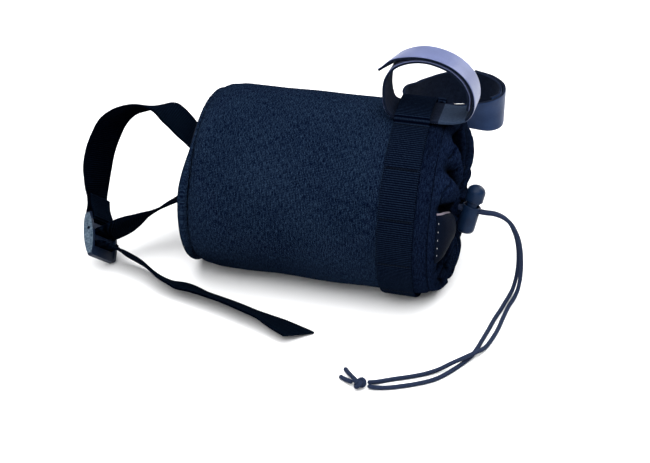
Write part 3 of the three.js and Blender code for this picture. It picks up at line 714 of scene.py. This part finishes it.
def drumOffset(x, turn):
    angle = math.radians(turn)
    around = drum["lumpsRound"]
    spot = Vector((x / drum["lumpSize"], around * math.sin(angle), around * math.cos(angle)))
    lumps = drum["lump"] * (noise.noise(spot) - drum["lumpLevel"])
    flattened = betweenEdges(x, bag["bandStart"], bandEnd, drum["pressSoft"])
    offset = mix(lumps, -drum["bandPress"], flattened)
    beside = min(abs(x - bag["bandStart"]), abs(x - bandEnd)) / drum["tackReach"]
    for tack in tackTurns:
        off = apart(turn, tack)
        if off < drum["tackLimit"]:
            pull = math.exp(-(off / drum["tackTurn"]) ** 2 - beside ** 2)
            offset -= drum["tackPull"] * pull * (1 - flattened)
    for dent in drum["dents"]:
        off = (apart(turn, dent["turn"]) / dent["wide"]) ** 2 + ((x - dent["x"]) / dent["long"]) ** 2
        offset -= dent["sink"] * math.exp(-off) * (1 - flattened)
    stray = drum["puckerStray"] * noise.noise(spot * drum["strayGrain"])
    wave = 0.5 + 0.5 * math.sin(math.radians(turn * drum["seamPuckers"]) + stray)
    seam = math.exp((bag["baseSeam"] - x) / drum["baseReach"])
    seam += drum["collarPucker"] * math.exp((x - bag["collarSeam"]) / drum["collarReach"])
    return offset - drum["puckerDepth"] * wave * seam


def drumPlace(u, v):
    x, turn, room = mix(bag["baseSeam"], bag["collarSeam"], v), 360 * u, drum["bandRoom"]
    underBand = (bag["webThick"] + bag["gap"]) * betweenEdges(x, bag["bandStart"] - room, bandEnd + room, room)
    radius = rowValue(drum["profile"], "radius", x) + drumOffset(x, turn)
    return drumPoint(x, radius, turn, underBand) * mm


drumFlat = (2 * math.pi * bag["radius"] * mm, (bag["collarSeam"] - bag["baseSeam"]) * mm)
drumMesh = bentGrid(drum["columns"], drum["rows"], drumPlace, drumFlat, closedRound=True)
for face in drumMesh.faces:   # beyond the band the collar's thinner cloth begins
    if face.calc_center_median().x > (bandEnd - drum["bandRoom"]) * mm:
        face.material_index = 2
drumPiece = addPiece(
    "drum", drumMesh, [bagCloth, liningCloth, collarCloth, liningCloth], "cloth", replaced=("body_shell",))
thicken(drumPiece, bag["wall"] * mm, inner=1)
print("drum sewn")


# Padded base: a disc that swells past its seam
base = {
    "columns": 260, "rows": 60, "wall": 3.0,
    "seamPuckers": 52, "puckerDepth": 0.2, "puckerAt": 0.6, "puckerWide": 1.1,
    "dimple": 0.9, "dimpleLevel": 0.4, "dimpleSwing": 0.6, "dimpleSize": 26, "dimpleSeed": 9, "leastSink": 0.05,
    "dimpleFrom": 54, "dimpleTo": 44,
    # Towards the top the rim sinks behind the drum's shoulder
    "tuckIn": 2.4, "tuckBack": 0.55, "tuckFrom": 62.0, "tuckTo": 96.0,
    "tuckGrows": (0.0, 0.1), "tuckFades": (0.5, 0.9),
    "profile": [   # radius and x, from the seam to the middle
        (50.4, -64.2), (51.8, -65.2), (52.4, -66.8), (51.6, -68.8), (48.6, -70.6), (41.0, -71.4), (24.0, -70.6),
        (0.0, -70.2),
    ],
}
baseProfile = [Vector((radius, x, 0)) for radius, x in base["profile"]]


def basePlace(u, v):
    turn = 360 * u
    angle = math.radians(turn)
    spot = curvePoint(baseProfile, v)
    radius = max(spot.x, 0.0)
    wave = 0.5 + 0.5 * math.sin(math.radians(turn * base["seamPuckers"]))
    sinking = ease(axisHeight + radius * math.cos(angle), base["tuckFrom"], base["tuckTo"])
    radius -= base["tuckIn"] * sinking * ease(v, *base["tuckGrows"]) * (1 - ease(v, *base["tuckFades"]))
    fromSeam = v * (len(baseProfile) - 1) - base["puckerAt"]
    radius -= base["puckerDepth"] * wave * math.exp(-(fromSeam / base["puckerWide"]) ** 2)
    grain = Vector((radius * math.sin(angle), radius * math.cos(angle), base["dimpleSeed"])) / base["dimpleSize"]
    sunk = base["dimple"] * (base["dimpleLevel"] - base["dimpleSwing"] * noise.noise(grain))
    sunk = max(sunk, base["leastSink"]) * ease(radius, base["dimpleFrom"], base["dimpleTo"])
    sunk -= sinking * base["tuckBack"] * (spot.y - base["profile"][0][1])
    height = max(axisHeight + radius * math.cos(angle), 0.0)
    return Vector((spot.y + sunk + leanAt(bag["baseSeam"], height), -radius * math.sin(angle), height)) * mm


baseMesh = bentGrid(base["columns"], base["rows"], basePlace, (1, 1), closedRound=True, flip=True)
baseUv = baseMesh.loops.layers.uv.active
for face in baseMesh.faces:
    for loop in face.loops:   # the disc is cut flat, so its weave runs straight across
        loop[baseUv].uv = (loop.vert.co.y, loop.vert.co.z)
basePiece = addPiece("basePad", baseMesh, [bagCloth, liningCloth], "cloth", replaced=("base_panel",))
thicken(basePiece, base["wall"] * mm, inner=1)
print("base sewn")


# Collar: thin cloth drawn in to the mouth, between creases
collar = {
    "columns": 420, "rows": 96, "wall": 1.4, "mouthY": -7.1, "mouthZ": 1.3, "slopeStep": 0.004,
    "profile": table(("x", "radius", "pleat", "slide"), [
        (72.3, 51.8, 0.0, 0.0), (76.2, 50.6, 0.3, 0.0), (79.4, 47.2, 1.6, 0.05), (81.8, 41.4, 3.2, 0.15),
        (83.4, 33.6, 4.2, 0.35), (83.9, 26.5, 4.0, 0.6), (82.4, 19.5, 2.0, 0.85), (79.4, 13.4, 1.0, 1.0),
        (78.6, 8.4, 0.5, 1.0), (80.0, 5.2, 0.15, 1.0), (82.0, 4.5, 0.0, 1.0),
    ]),
    "creases": [   # turn and depth
        (8, 1.1), (39, 0.9), (64, 1.3), (105, 0.9), (124, 1.0), (149, 0.8), (171, 1.0), (196, 0.9), (221, 1.1),
        (246, 0.8), (268, 1.0), (293, 0.9), (316, 1.1), (339, 0.9),
    ],
    # Broad forms of the slack cloth: outward above 0, a hollow below
    "swells": table(("turn", "wide", "share", "deep", "rise"), [
        (52, 9, 0.24, 0.22, 2.6), (25, 6, 0.25, 0.2, 2.4), (7, 9, 0.34, 0.16, -5.5), (38, 4, 0.26, 0.16, -2.4),
        (65, 4, 0.3, 0.2, -4.0), (118, 12, 0.3, 0.2, -1.6), (205, 14, 0.35, 0.2, -2.0),
        (262, 12, 0.3, 0.25, -2.4), (300, 11, 0.3, 0.25, 1.2), (330, 10, 0.35, 0.2, -1.8),
    ]),
    "swellGrows": (0.0, 0.1), "creaseRound": 0.7, "wander": 6.0, "wanderGrain": (3, 2),
    "wrinkle": 2.1, "wrinkleMost": 1.6, "wrinkleGrain": (3.2, 9),
    "tuck": 2.5, "tuckWidth": 0.085, "tuckGrain": (4.5, 4.2, 7), "tuckGrows": (0.04, 0.2),
    "tuckFades": (0.6, 0.75), "calmPast": 2, "calmSoft": 5.0, "foldDepth": 4.2, "foldRise": 1.4,
    "stitchShare": 0.56, "stitchStep": 6.0, "stitchReach": (0.6, 0.005), "stitchRise": 0.05,
    "stitchSize": (1.9, 0.45, 0.35),
}
collarRows = collar["profile"]
labelLook = {
    "from": 67.5, "to": 101.5, "fromShare": 0.096, "toShare": 0.44, "thick": 0.7, "soften": 0.00015,
    "columns": 24, "rows": 60, "flat": (0.0115, 0.032), "strip": 0.0011,
    "stitches": 5, "stitchIn": 0.07, "firstStitch": 0.18, "stitchStep": 0.16, "stitchSize": (1.0, 0.45, 0.3),
}


def creaseDepth(turn):
    first, firstDepth = collar["creases"][0]
    turn = (turn - first) % 360 + first
    closed = collar["creases"] + [(first + 360, firstDepth)]
    for (here, depth), (after, depthAfter) in zip(closed, closed[1:]):
        if turn <= after:
            share = (turn - here) / (after - here)
            puff = max(math.sin(math.pi * share), 0.0) ** collar["creaseRound"]
            return mix(depth, depthAfter, share) * (1 - puff)
    return 0.0


def collarProfile(share):
    # Even-paced curve through the collar's rows, with the index and share of the stretch
    i, t = spanAt(len(collarRows), share)
    last = len(collarRows) - 1
    before, here, after, beyond = (
        Vector((collarRows[k]["x"], collarRows[k]["radius"])) for k in (max(i - 1, 0), i, i + 1, min(i + 2, last)))
    return cubic(here, after, (after - before) / 2, (beyond - here) / 2, t), i, t


def ringNoise(share, turn, along, around, shift=0):
    angle = math.radians(turn)
    return noise.noise(Vector((share * along + shift, math.sin(angle) * around, math.cos(angle) * around)))


def collarFold(share, turn):
    # How far the cloth stands out of its even shape, in millimetres
    spot, i, t = collarProfile(share)
    pleat = mix(collarRows[i]["pleat"], collarRows[i + 1]["pleat"], t)
    # The label keeps its cloth smooth
    calm = 1 - betweenEdges(turn, labelLook["from"], labelLook["to"] + collar["calmPast"], collar["calmSoft"])
    bend = collar["wander"] * ringNoise(share, turn, *collar["wanderGrain"])
    out = -pleat * creaseDepth(turn + bend * calm)
    grain = max(ringNoise(share, turn, *collar["wrinkleGrain"]), 0.0)
    out -= collar["wrinkle"] * min(pleat, collar["wrinkleMost"]) * grain * calm
    crossing = abs(ringNoise(share, turn, *collar["tuckGrain"])) / collar["tuckWidth"]
    reach = ease(share, *collar["tuckGrows"]) * (1 - ease(share, *collar["tuckFades"]))
    out -= collar["tuck"] * math.exp(-crossing ** 2) * reach * calm
    for swell in collar["swells"]:
        off = (apart(turn, swell["turn"]) / swell["wide"]) ** 2 + ((share - swell["share"]) / swell["deep"]) ** 2
        out += swell["rise"] * math.exp(-off) * ease(share, *collar["swellGrows"])
    return out


def collarPoint(share, turn, offset):
    spot, i, t = collarProfile(share)
    ahead, behind = (collarProfile(share + step)[0] for step in (collar["slopeStep"], -collar["slopeStep"]))
    tangent = (ahead - behind).normalized()
    slide = mix(collarRows[i]["slide"], collarRows[i + 1]["slide"], t)
    out = offset + collarFold(share, turn)
    point = drumPoint(spot.x - tangent.y * out, spot.y + tangent.x * out, turn, None)
    point.y += slide * collar["mouthY"]
    point.z = max(point.z + slide * collar["mouthZ"], 0.0)
    point.x = max(point.x, bag["collarSeam"] + bag["gap"])
    return point * mm


collarFlat = (0.339, 0.064)
collarMesh = bentGrid(
    collar["columns"], collar["rows"], lambda u, v: collarPoint(v, 360 * u, 0), collarFlat, closedRound=True)
# Painted shade and highlight per vertex: dark where the cloth lies deep in a fold, pale where it stands out
foldLayer = collarMesh.verts.layers.float.new("foldShade")
collarUv = collarMesh.loops.layers.uv.active
for vert in collarMesh.verts:
    far = vert.link_loops[0][collarUv].uv
    fold = collarFold(far.y / collarFlat[1], 360 * far.x / collarFlat[0])
    vert[foldLayer] = ease(fold, -collar["foldDepth"], collar["foldRise"])
collarPiece = addPiece("gatheredCollar", collarMesh, [foldedCloth, liningCloth], "cloth", replaced=("collar",))
thicken(collarPiece, collar["wall"] * mm, inner=1)
for k in range(int(360 / collar["stitchStep"])):   # draw channel
    spot, ahead, inward, up = surfaceFrame(
        lambda a, b: collarPoint(b, a, collar["stitchRise"]),
        k * collar["stitchStep"], collar["stitchShare"], collar["stitchReach"])
    addStitch("dark", spot, ahead, up, collar["stitchSize"])
print("collar gathered")


# Label: a plain patch on the collar, with a light strip at its top edge
def labelPlace(u, v):
    share = mix(labelLook["fromShare"], labelLook["toShare"], u)
    return collarPoint(share, mix(labelLook["from"], labelLook["to"], v), bag["gap"] + labelLook["thick"])


labelMesh = bentGrid(labelLook["columns"], labelLook["rows"], labelPlace, labelLook["flat"], flip=True)
labelUv = labelMesh.loops.layers.uv.active
for face in labelMesh.faces:
    if sum(loop[labelUv].uv.y for loop in face.loops) / len(face.loops) < labelLook["strip"]:
        face.material_index = 1
label = addPiece("sewnLabel", labelMesh, [labelCloth, labelEdge], "label_cloth", replaced=("label",))
thicken(label, labelLook["thick"] * mm)
softenEdges(label, labelLook["soften"])
for k in range(labelLook["stitches"]):
    at = labelLook["firstStitch"] + labelLook["stitchStep"] * k
    spot, across, down, up = surfaceFrame(labelPlace, labelLook["stitchIn"], at, (0.01, 0.01))
    addStitch("pale", spot, down, -up, labelLook["stitchSize"])
print("label sewn")


# Ribbed webbing band round the drum, with two loops that stand off it
band = {
    "columns": 20, "perRib": 4, "rib": 0.2, "ribPitch": 1.25, "loopRibs": 0.5, "loopFoot": 0.77, "thick": 1.3,
    "edgeDrop": 0.3, "edgeGap": 0.15, "tackPress": 0.35, "tackWide": 1.4,
}
webEdge = 0.07    # share of a webbing's width that thins towards each edge
ribRound = 0.8


def bandLift(turn):
    nearest = min(apart(turn, frontLoop), apart(turn, rearLoop)) / (bag["tackStep"] / 2)
    return bag["loopLift"] * (1 - ease(nearest, band["loopFoot"], 1.0))


def edgeFall(u):
    return max(abs(u - 0.5) - (0.5 - webEdge), 0.0) / webEdge


def ribHeight(far, pitch, height):
    return height * abs(math.sin(math.pi * far / pitch)) ** ribRound


def bandPlace(u, v):
    turn = 360 * v
    lift = bandLift(turn)
    press = max(math.exp(-(apart(turn, tack) / band["tackWide"]) ** 2) for tack in tackTurns)
    rib = ribHeight(v * bandLength, band["ribPitch"], band["rib"])
    rib *= 1 - band["loopRibs"] * lift / bag["loopLift"]   # stretched flatter over a loop
    radius = bag["radius"] + bag["gap"] + lift + bag["webThick"] - band["rib"] + rib
    radius -= band["edgeDrop"] * edgeFall(u) ** 2 + band["tackPress"] * press
    x = bag["bandStart"] + band["edgeGap"] + u * (bag["webWidth"] - 2 * band["edgeGap"])
    return drumPoint(x, radius, turn, 0.0) * mm


bandRibs = round(2 * math.pi * (bag["radius"] + 2) / band["ribPitch"])
bandLength = bandRibs * band["ribPitch"]
bandFlat = (bag["webWidth"] * mm, bandLength * mm)
bandMesh = bentGrid(band["columns"], bandRibs * band["perRib"], bandPlace, bandFlat, closedRound=True, flip=True)
bandPiece = addPiece("webbingBand", bandMesh, [bandWeb], "webbing", replaced=("webbing_band",))
thicken(bandPiece, band["thick"] * mm)

# Bar tacks: a close zigzag across the webbing
tackLook = {
    "count": 24, "inset": 0.07, "lean": 0.35, "sunk": 0.00004, "size": (2.0, 0.62, 0.5), "floorTurn": 24,
    "reach": 0.004, "rootReach": 0.003,
}


def barTack(place, at, reach):
    for k in range(tackLook["count"]):
        a = mix(tackLook["inset"], 1 - tackLook["inset"], k / (tackLook["count"] - 1))
        spot, across, ahead, normal = surfaceFrame(place, a, at, (0.01, reach / 2))
        lean = ahead + across * (tackLook["lean"] if k % 2 else -tackLook["lean"])
        addStitch("dark", spot - normal * tackLook["sunk"], lean, -normal, tackLook["size"])


for tack in tackTurns:
    if apart(tack, 180) > tackLook["floorTurn"]:   # none where the bag rests
        barTack(bandPlace, (tack % 360) / 360, tackLook["reach"])
print("band sewn")


# Straps: flat webbing through stations, each a place and the way across it
webStrap = {
    "width": 19.8, "thick": 1.45, "rib": 0.18, "ribPitch": 1.25, "perRib": 4, "columns": 16, "edgeDrop": 0.25,
}
tapeStrap = {
    "width": 22.0, "thick": 1.5, "rib": 0.0, "ribPitch": 1.2, "perRib": 1, "columns": 20, "edgeDrop": 0.2,
    "soften": 0.0003,
}
perStation = 14   # samples from one station to the next


def strapCourse(stations):
    places = [Vector(place) * mm for place, across in stations]
    acrosses = [Vector(across) for place, across in stations]
    count = (len(stations) - 1) * perStation
    centres = [curvePoint(places, i / count) for i in range(count + 1)]
    frames = []
    for i, centre in enumerate(centres):
        tangent = (centres[min(i + 1, count)] - centres[max(i - 1, 0)]).normalized()
        across = curvePoint(acrosses, i / count)
        across = (across - tangent * across.dot(tangent)).normalized()
        frames.append((centre, across, tangent.cross(across), tangent))
    return frames, along(centres)


def strapPlace(course, look):
    frames, reach = course
    length = reach[-1]

    def place(u, v):
        far = v * (length + look.get("skew", 0) * mm * (u - 0.5))   # skew slants the cut end
        i, share = whereOn(reach, min(far, length))
        centre, across, normal, tangent = (a.lerp(b, share) for a, b in zip(frames[i], frames[i + 1]))
        centre = centre + tangent.normalized() * max(far - length, 0.0)
        rise = look["thick"] / 2 - look["rib"] - look["edgeDrop"] * edgeFall(u) ** 2
        rise += ribHeight(far / mm, look["ribPitch"], look["rib"])
        return centre + across.normalized() * (u - 0.5) * look["width"] * mm + normal.normalized() * rise * mm

    return place, length


def stationShare(course, station):
    return course[1][station * perStation] / course[1][-1]


def makeStrap(name, stations, look, materials, slot, node):
    course = strapCourse(stations)
    place, length = strapPlace(course, look)
    ribs = max(2, round(length / mm / look["ribPitch"]))
    bm = bentGrid(look["columns"], ribs * look["perRib"], place, (look["width"] * mm, length), flip=True)
    if "patch" in look:   # the stations between which the hook patch shows inside, kept to where light falls: its pale colour is a painted highlight
        uv = bm.loops.layers.uv.active
        low, high = (stationShare(course, station) * length for station in look["patch"])
        for face in bm.faces:
            if low < min(loop[uv].uv.y for loop in face.loops) < high:
                face.material_index = 1
    piece = addPiece(name, bm, materials, slot, replaced=(node,))
    other = min(len(materials) - 1, 1)
    thicken(piece, (look["thick"] - look["rib"]) * mm, inner=other, rim=other)
    if "soften" in look:
        softenEdges(piece, look["soften"])
    return place, course


def hookStations(rows):
    # lean is the angle of the strap's width above the level, seen along the bag
    stations = []
    for x, y, z, lean in rows:
        angle = math.radians(lean)
        stations.append(((x, y, z), (0, -math.cos(angle), math.sin(angle))))
    return stations


frontHook = hookStations([
    (84.4, -2, 115.2, 5), (84.4, -1.5, 122.4, 6), (81, -1.5, 129.6, 7), (75, -1, 135, 7), (67.4, -1, 138.4, 7),
    (59, -1, 139.8, 7), (50.4, -1, 138.4, 7), (43, -1, 134.4, 6), (39, -1.5, 128, 6), (38, -1.5, 120.8, 5),
    (38.8, -2, 114.4, 4), (40.6, -2, 109.6, 3), (44.6, -2, 107.2, -1.5), (52, -2, 107.1, -2), (60, -2, 107.1, -2),
    (68, -2, 107.1, -1.5), (76, -2, 107.2, 1), (83, -2, 109, 4), (86.9, -2, 114.6, 5), (86.7, -1.5, 122.8, 6),
    (83, -1.5, 130.8, 7), (76.2, -1, 136.8, 7), (68, -1, 140.5, 7), (59, -1, 142, 7), (50.2, -1, 141, 9),
    (42.6, -1, 137.9, 14), (37, -1, 131.8, 24),
])
rearHook = hookStations([
    (87, 55, 81.5, 78), (92, 63, 81, 86), (91, 74, 81, 90), (84, 83, 81, 90), (73, 88, 81, 90),
    (63, 86.6, 81, 90), (54.6, 81, 81, 88), (47.6, 72.5, 81.4, 84), (42.6, 63, 82.8, 76), (39.2, 54, 84.2, 65),
    (40.4, 48.6, 84.2, 57.5), (44.6, 46.1, 83.3, 55.6), (52, 45.8, 83.1, 55.3), (60, 45.8, 83.1, 55.3),
    (69, 46.4, 83, 56), (80, 48.6, 82.4, 66), (89.4, 53.6, 81.6, 78), (94.4, 62.6, 81, 86), (93.2, 75, 81, 90),
    (85.4, 84.8, 81, 90), (73.4, 90.2, 81, 90),
])
makeStrap("frontHookStrap", frontHook, {**tapeStrap, "patch": (15, 17)}, [tapeBack, tapePile, hookPatchHighlight],
          "hook_tape", "front_hook_strap")
# The rear ring wears the painted-shade copy of the tape back
makeStrap("rearHookStrap", rearHook, tapeStrap, [shadedTapeBack, tapePile], "hook_tape", "rear_hook_strap")
print("hook straps closed")


# Buckle frame, and the places of the straps in it
buckle = {
    "place": Vector((-125.5, -33.5, 17)), "across": Vector((0.27, 0.7, -0.66)),
    "up": Vector((-0.284, 0.716, 0.645)), "length": 27.0, "plate": 3.0,
    "sewnSlot": 8.8, "feedSlot": 1.8, "tailSlot": -5.4,
    "edge": 0.00035, "edgeSteps": 3, "edgeAngle": 35, "sharpAngle": 40, "rail": 12.0, "railFacing": 0.8,
    "foldStations": (7, 8), "foldTacks": (0.4, 0.9), "rootTacks": (0.97, 0.995), "rootY": 4,
}
buckleAcross = buckle["across"].normalized()
buckleUp = (buckle["up"] - buckleAcross * buckle["up"].dot(buckleAcross)).normalized()
buckleIn = buckleAcross.cross(buckleUp)
sewnTop = buckle["length"] / 2
feed, tail = buckle["feedSlot"], buckle["tailSlot"]
wrap = buckle["plate"] / 2 + bag["gap"] + bag["webThick"] / 2
rootX = base["profile"][-1][1] - bag["gap"] - bag["webThick"] / 2


def inBuckle(up, inward):
    return tuple(buckle["place"] + buckleUp * up + buckleIn * inward), tuple(buckleAcross)


def rootAt(height):
    return (rootX + leanAt(bag["baseSeam"], height), buckle["rootY"], height), (0, 1, 0)


sewnStations = [
    inBuckle(sewnTop + 11.5, 1), inBuckle(sewnTop + 5, 1.1), inBuckle(sewnTop - 1, wrap),
    inBuckle(sewnTop - 3.4, wrap), inBuckle(buckle["sewnSlot"], 0.2), inBuckle(sewnTop - 3.4, -wrap),
    inBuckle(sewnTop - 1, -wrap), inBuckle(sewnTop + 5, -1.1), inBuckle(sewnTop + 12, -1.1),
    ((-135, -10, 42.2), (0.45, 0.7, -0.5)), ((-135.4, -6, 49.6), (0.6, 0.68, -0.42)),
    ((-134.6, -2, 57.4), (0.62, 0.68, -0.4)), ((-131.8, 1, 66), (0.6, 0.69, -0.41)),
    ((-126.8, 3, 75.6), (0.55, 0.72, -0.42)), ((-119.2, 3.6, 82.6), (0.35, 0.78, -0.5)),
    ((-109.4, 4, 86.4), (0.1, 0.82, -0.56)), ((-98.6, 4, 87.6), (0.1, 0.94, -0.3)),
    ((-90, 4, 84.4), (0.22, 0.95, 0.1)), ((-83.4, 4, 78.2), (0.22, 0.96, 0.1)),
    ((-77, 4, 71), (0.12, 1, 0)), ((-72.4, 4, 64.2), (0, 1, 0)), rootAt(57.4), rootAt(52),
]
runningStations = [
    rootAt(51), rootAt(45.4), ((-73, 4, 39.6), (0, 1, 0)), ((-78.6, 3, 35.2), (0, 1, -0.1)),
    ((-87.6, -1, 30.4), (0, 0.97, -0.2)), ((-94.4, -7, 27.8), (0, 0.95, -0.3)),
    ((-102, -13.4, 24.8), (0.05, 0.9, -0.38)), ((-111.2, -22, 21.2), (0, 0.62, -0.78)),
    inBuckle(feed + 0.3, 6.5), inBuckle(feed, 3.4), inBuckle(feed - 0.2, -1.6),
    inBuckle((feed + tail) / 2, -wrap - 1.1),
    inBuckle(tail + 0.2, -1.6), inBuckle(tail, 3.4), inBuckle(tail - 0.5, 6.5),
    ((-111.6, -38.4, 13), (0.24, 0.64, -0.73)), ((-105, -39.6, 11.2), (0.22, 0.6, -0.77)),
    ((-97.3, -42.6, 10), (0.22, 0.58, -0.79)), ((-90.9, -46.5, 9.3), (0.2, 0.55, -0.81)),
    ((-84.7, -50.3, 8.6), (0.24, 0.63, -0.74)), ((-76.5, -53.7, 7.4), (0.28, 0.74, -0.6)),
    ((-66.9, -55, 6), (0.32, 0.84, -0.44)), ((-55.9, -58.8, 6.4), (0.3, 0.79, -0.54)),
    ((-44, -62.3, 6.6), (0.3, 0.78, -0.55)), ((-33.5, -65.7, 6.6), (0.3, 0.78, -0.55)),
    ((-22.9, -69.6, 6.4), (0.3, 0.79, -0.54)), ((-13.4, -72.6, 6), (0.31, 0.81, -0.5)),
    ((-5.2, -75.6, 5), (0.33, 0.86, -0.38)), ((8.4, -81.2, 4), (0.34, 0.9, -0.28)),
]
sewnPlace, sewnCourse = makeStrap("buckleStrap", sewnStations, webStrap, [strapWeb], "webbing", "buckle_strap")
makeStrap("adjustingStrap", runningStations, {**webStrap, "skew": 7.0}, [strapWeb], "webbing", "adjusting_strap")
foldEnds = [stationShare(sewnCourse, station) for station in buckle["foldStations"]]
for at in buckle["foldTacks"]:
    barTack(sewnPlace, mix(*foldEnds, at), tackLook["reach"])
for at in buckle["rootTacks"]:
    barTack(sewnPlace, at, tackLook["rootReach"])
print("straps threaded")

# Buckle: the moulded solid with its edges eased
buckleMesh = bmesh.new()
buckleMesh.from_mesh(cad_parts["strap_buckle"].data)
bmesh.ops.remove_doubles(buckleMesh, verts=buckleMesh.verts, dist=1e-6)
bmesh.ops.dissolve_limit(buckleMesh, angle_limit=math.radians(1), verts=buckleMesh.verts, edges=buckleMesh.edges)
bmesh.ops.recalc_face_normals(buckleMesh, faces=buckleMesh.faces)
# Painted highlight: the rails' outer side faces take the paler, rough grip plastic
for face in buckleMesh.faces:
    fromMiddle = (face.calc_center_median() / mm - buckle["place"]).dot(buckleAcross)
    if abs(face.normal.dot(buckleAcross)) > buckle["railFacing"] and abs(fromMiddle) > buckle["rail"]:
        face.material_index = 1
bucklePiece = addPiece("buckle", buckleMesh, [bucklePlastic, gripHighlightPlastic], "moulding", replaced=("strap_buckle",))
softenEdges(bucklePiece, buckle["edge"], buckle["edgeSteps"], buckle["edgeAngle"])
bucklePiece.data.set_sharp_from_angle(angle=math.radians(buckle["sharpAngle"]))
print("buckle eased")


# Cord lock: a barrel with a well, and a domed button on a stem
lock = {
    "place": Vector((88.7, -7, 52.2)), "axis": Vector((0.2, 0.2, 0.95)), "steps": 64, "sharpAngle": 38,
    "radius": 5.25, "bottom": -13.8, "corner": 2.8, "cornerSteps": 10, "rim": 2.6, "rimRound": 0.45,
    "wellRadius": 4.3, "wellBottom": -9.5, "stemRadius": 4.0, "stemBottom": -6.0, "travel": 2.6,
    "top": 15.0, "dome": 4.2, "domeSteps": 14, "capRound": 0.6, "roundSteps": 4,
    "holeWidth": 6.0, "holeHeight": 3.6, "holeRound": 1.2,
}
lockAxis = lock["axis"].normalized()
lockThrough = (Vector((1, 0, 0)) - lockAxis * lockAxis.x).normalized()
lockSide = lockAxis.cross(lockThrough)
lockSeat = Matrix.Translation(lock["place"] * mm) @ Matrix((lockThrough, lockSide, lockAxis)).transposed().to_4x4()
lockSeat = lockSeat @ Matrix.Scale(mm, 4)


def arcRow(centreRadius, centreHeight, radius, height, start, end, count):
    rows = []
    for k in range(count + 1):
        angle = math.radians(mix(start, end, k / count))
        rows.append((centreRadius + radius * math.cos(angle), centreHeight + height * math.sin(angle)))
    return rows


def turnedMesh(rows):
    bm = bmesh.new()
    verts = [bm.verts.new((radius, 0, height)) for radius, height in rows]
    edges = [bm.edges.new(pair) for pair in zip(verts, verts[1:])]
    bmesh.ops.spin(bm, geom=verts + edges, cent=(0, 0, 0), axis=(0, 0, 1), dvec=(0, 0, 0), angle=2 * math.pi,
                   steps=lock["steps"], use_merge=True, use_normal_flip=False, use_duplicate=False)
    bmesh.ops.remove_doubles(bm, verts=bm.verts, dist=1e-5)
    bmesh.ops.recalc_face_normals(bm, faces=bm.faces)
    bm.transform(lockSeat)
    return bm


def cutCordHole(piece, low, high):
    # A rounded slot for the two cords, taken out of the finished mesh
    bm = bmesh.new()
    size = Matrix.Diagonal((4 * lock["radius"], lock["holeWidth"], high - low, 1))
    bmesh.ops.create_cube(bm, size=1.0, matrix=Matrix.Translation((0, 0, (low + high) / 2)) @ size)
    lengthwise = [e for e in bm.edges if abs(e.verts[0].co.x - e.verts[1].co.x) > 1]
    bmesh.ops.bevel(bm, geom=lengthwise, offset=lock["holeRound"], offset_type="OFFSET",
                    segments=lock["roundSteps"], profile=0.5, affect="EDGES", material=-1)
    bm.transform(lockSeat)
    mesh = bpy.data.meshes.new("cordHole")
    bm.to_mesh(mesh)
    bm.free()
    cutter = bpy.data.objects.new("cordHole", mesh)
    bpy.context.scene.collection.objects.link(cutter)
    cut = piece.modifiers.new("Hole", "BOOLEAN")
    cut.operation = "DIFFERENCE"
    cut.solver = "EXACT"
    cut.object = cutter
    bpy.context.view_layer.update()
    done = bpy.data.meshes.new_from_object(piece.evaluated_get(bpy.context.evaluated_depsgraph_get()))
    piece.modifiers.remove(cut)
    piece.data = done
    bpy.data.objects.remove(cutter)
    piece.data.set_sharp_from_angle(angle=math.radians(lock["sharpAngle"]))


def roundedEdge(height, size, start, end, count):
    # A quarter round at the lock's full radius, with its middle at this height
    return arcRow(lock["radius"] - size, height, size, size, start, end, count)


capFoot = lock["rim"] + lock["travel"] + bag["gap"]
halfHole = lock["holeHeight"] / 2
barrelRows = [
    (0, lock["bottom"]),
    *roundedEdge(lock["bottom"] + lock["corner"], lock["corner"], -90, 0, lock["cornerSteps"]),
    *roundedEdge(lock["rim"] - lock["rimRound"], lock["rimRound"], 0, 90, lock["roundSteps"]),
    (lock["wellRadius"], lock["rim"]), (lock["wellRadius"], lock["wellBottom"]), (0, lock["wellBottom"]),
]
buttonRows = [
    (0, lock["stemBottom"]), (lock["stemRadius"], lock["stemBottom"]), (lock["stemRadius"], capFoot),
    *roundedEdge(capFoot + lock["capRound"], lock["capRound"], -90, 0, lock["roundSteps"]),
    *arcRow(0, lock["top"] - lock["dome"], lock["radius"], lock["dome"], 0, 90, lock["domeSteps"]),
]
barrel = addPiece("lockBarrel", turnedMesh(barrelRows), [lockPlastic], "moulding", replaced=("cord_lock_barrel",))
cutCordHole(barrel, -halfHole, halfHole)
button = addPiece("lockButton", turnedMesh(buttonRows), [lockPlastic], "moulding", "cord_lock_button",
                  ("cord_lock_button",))
cutCordHole(button, -halfHole, halfHole + lock["travel"])
print("cord lock turned")

for thread, material, slot in (("dark", darkThread, "webbing"), ("pale", paleThread, "label_cloth")):
    addPiece(thread + "Stitches", stitchMeshes[thread], [material], slot)
print("stitches placed")
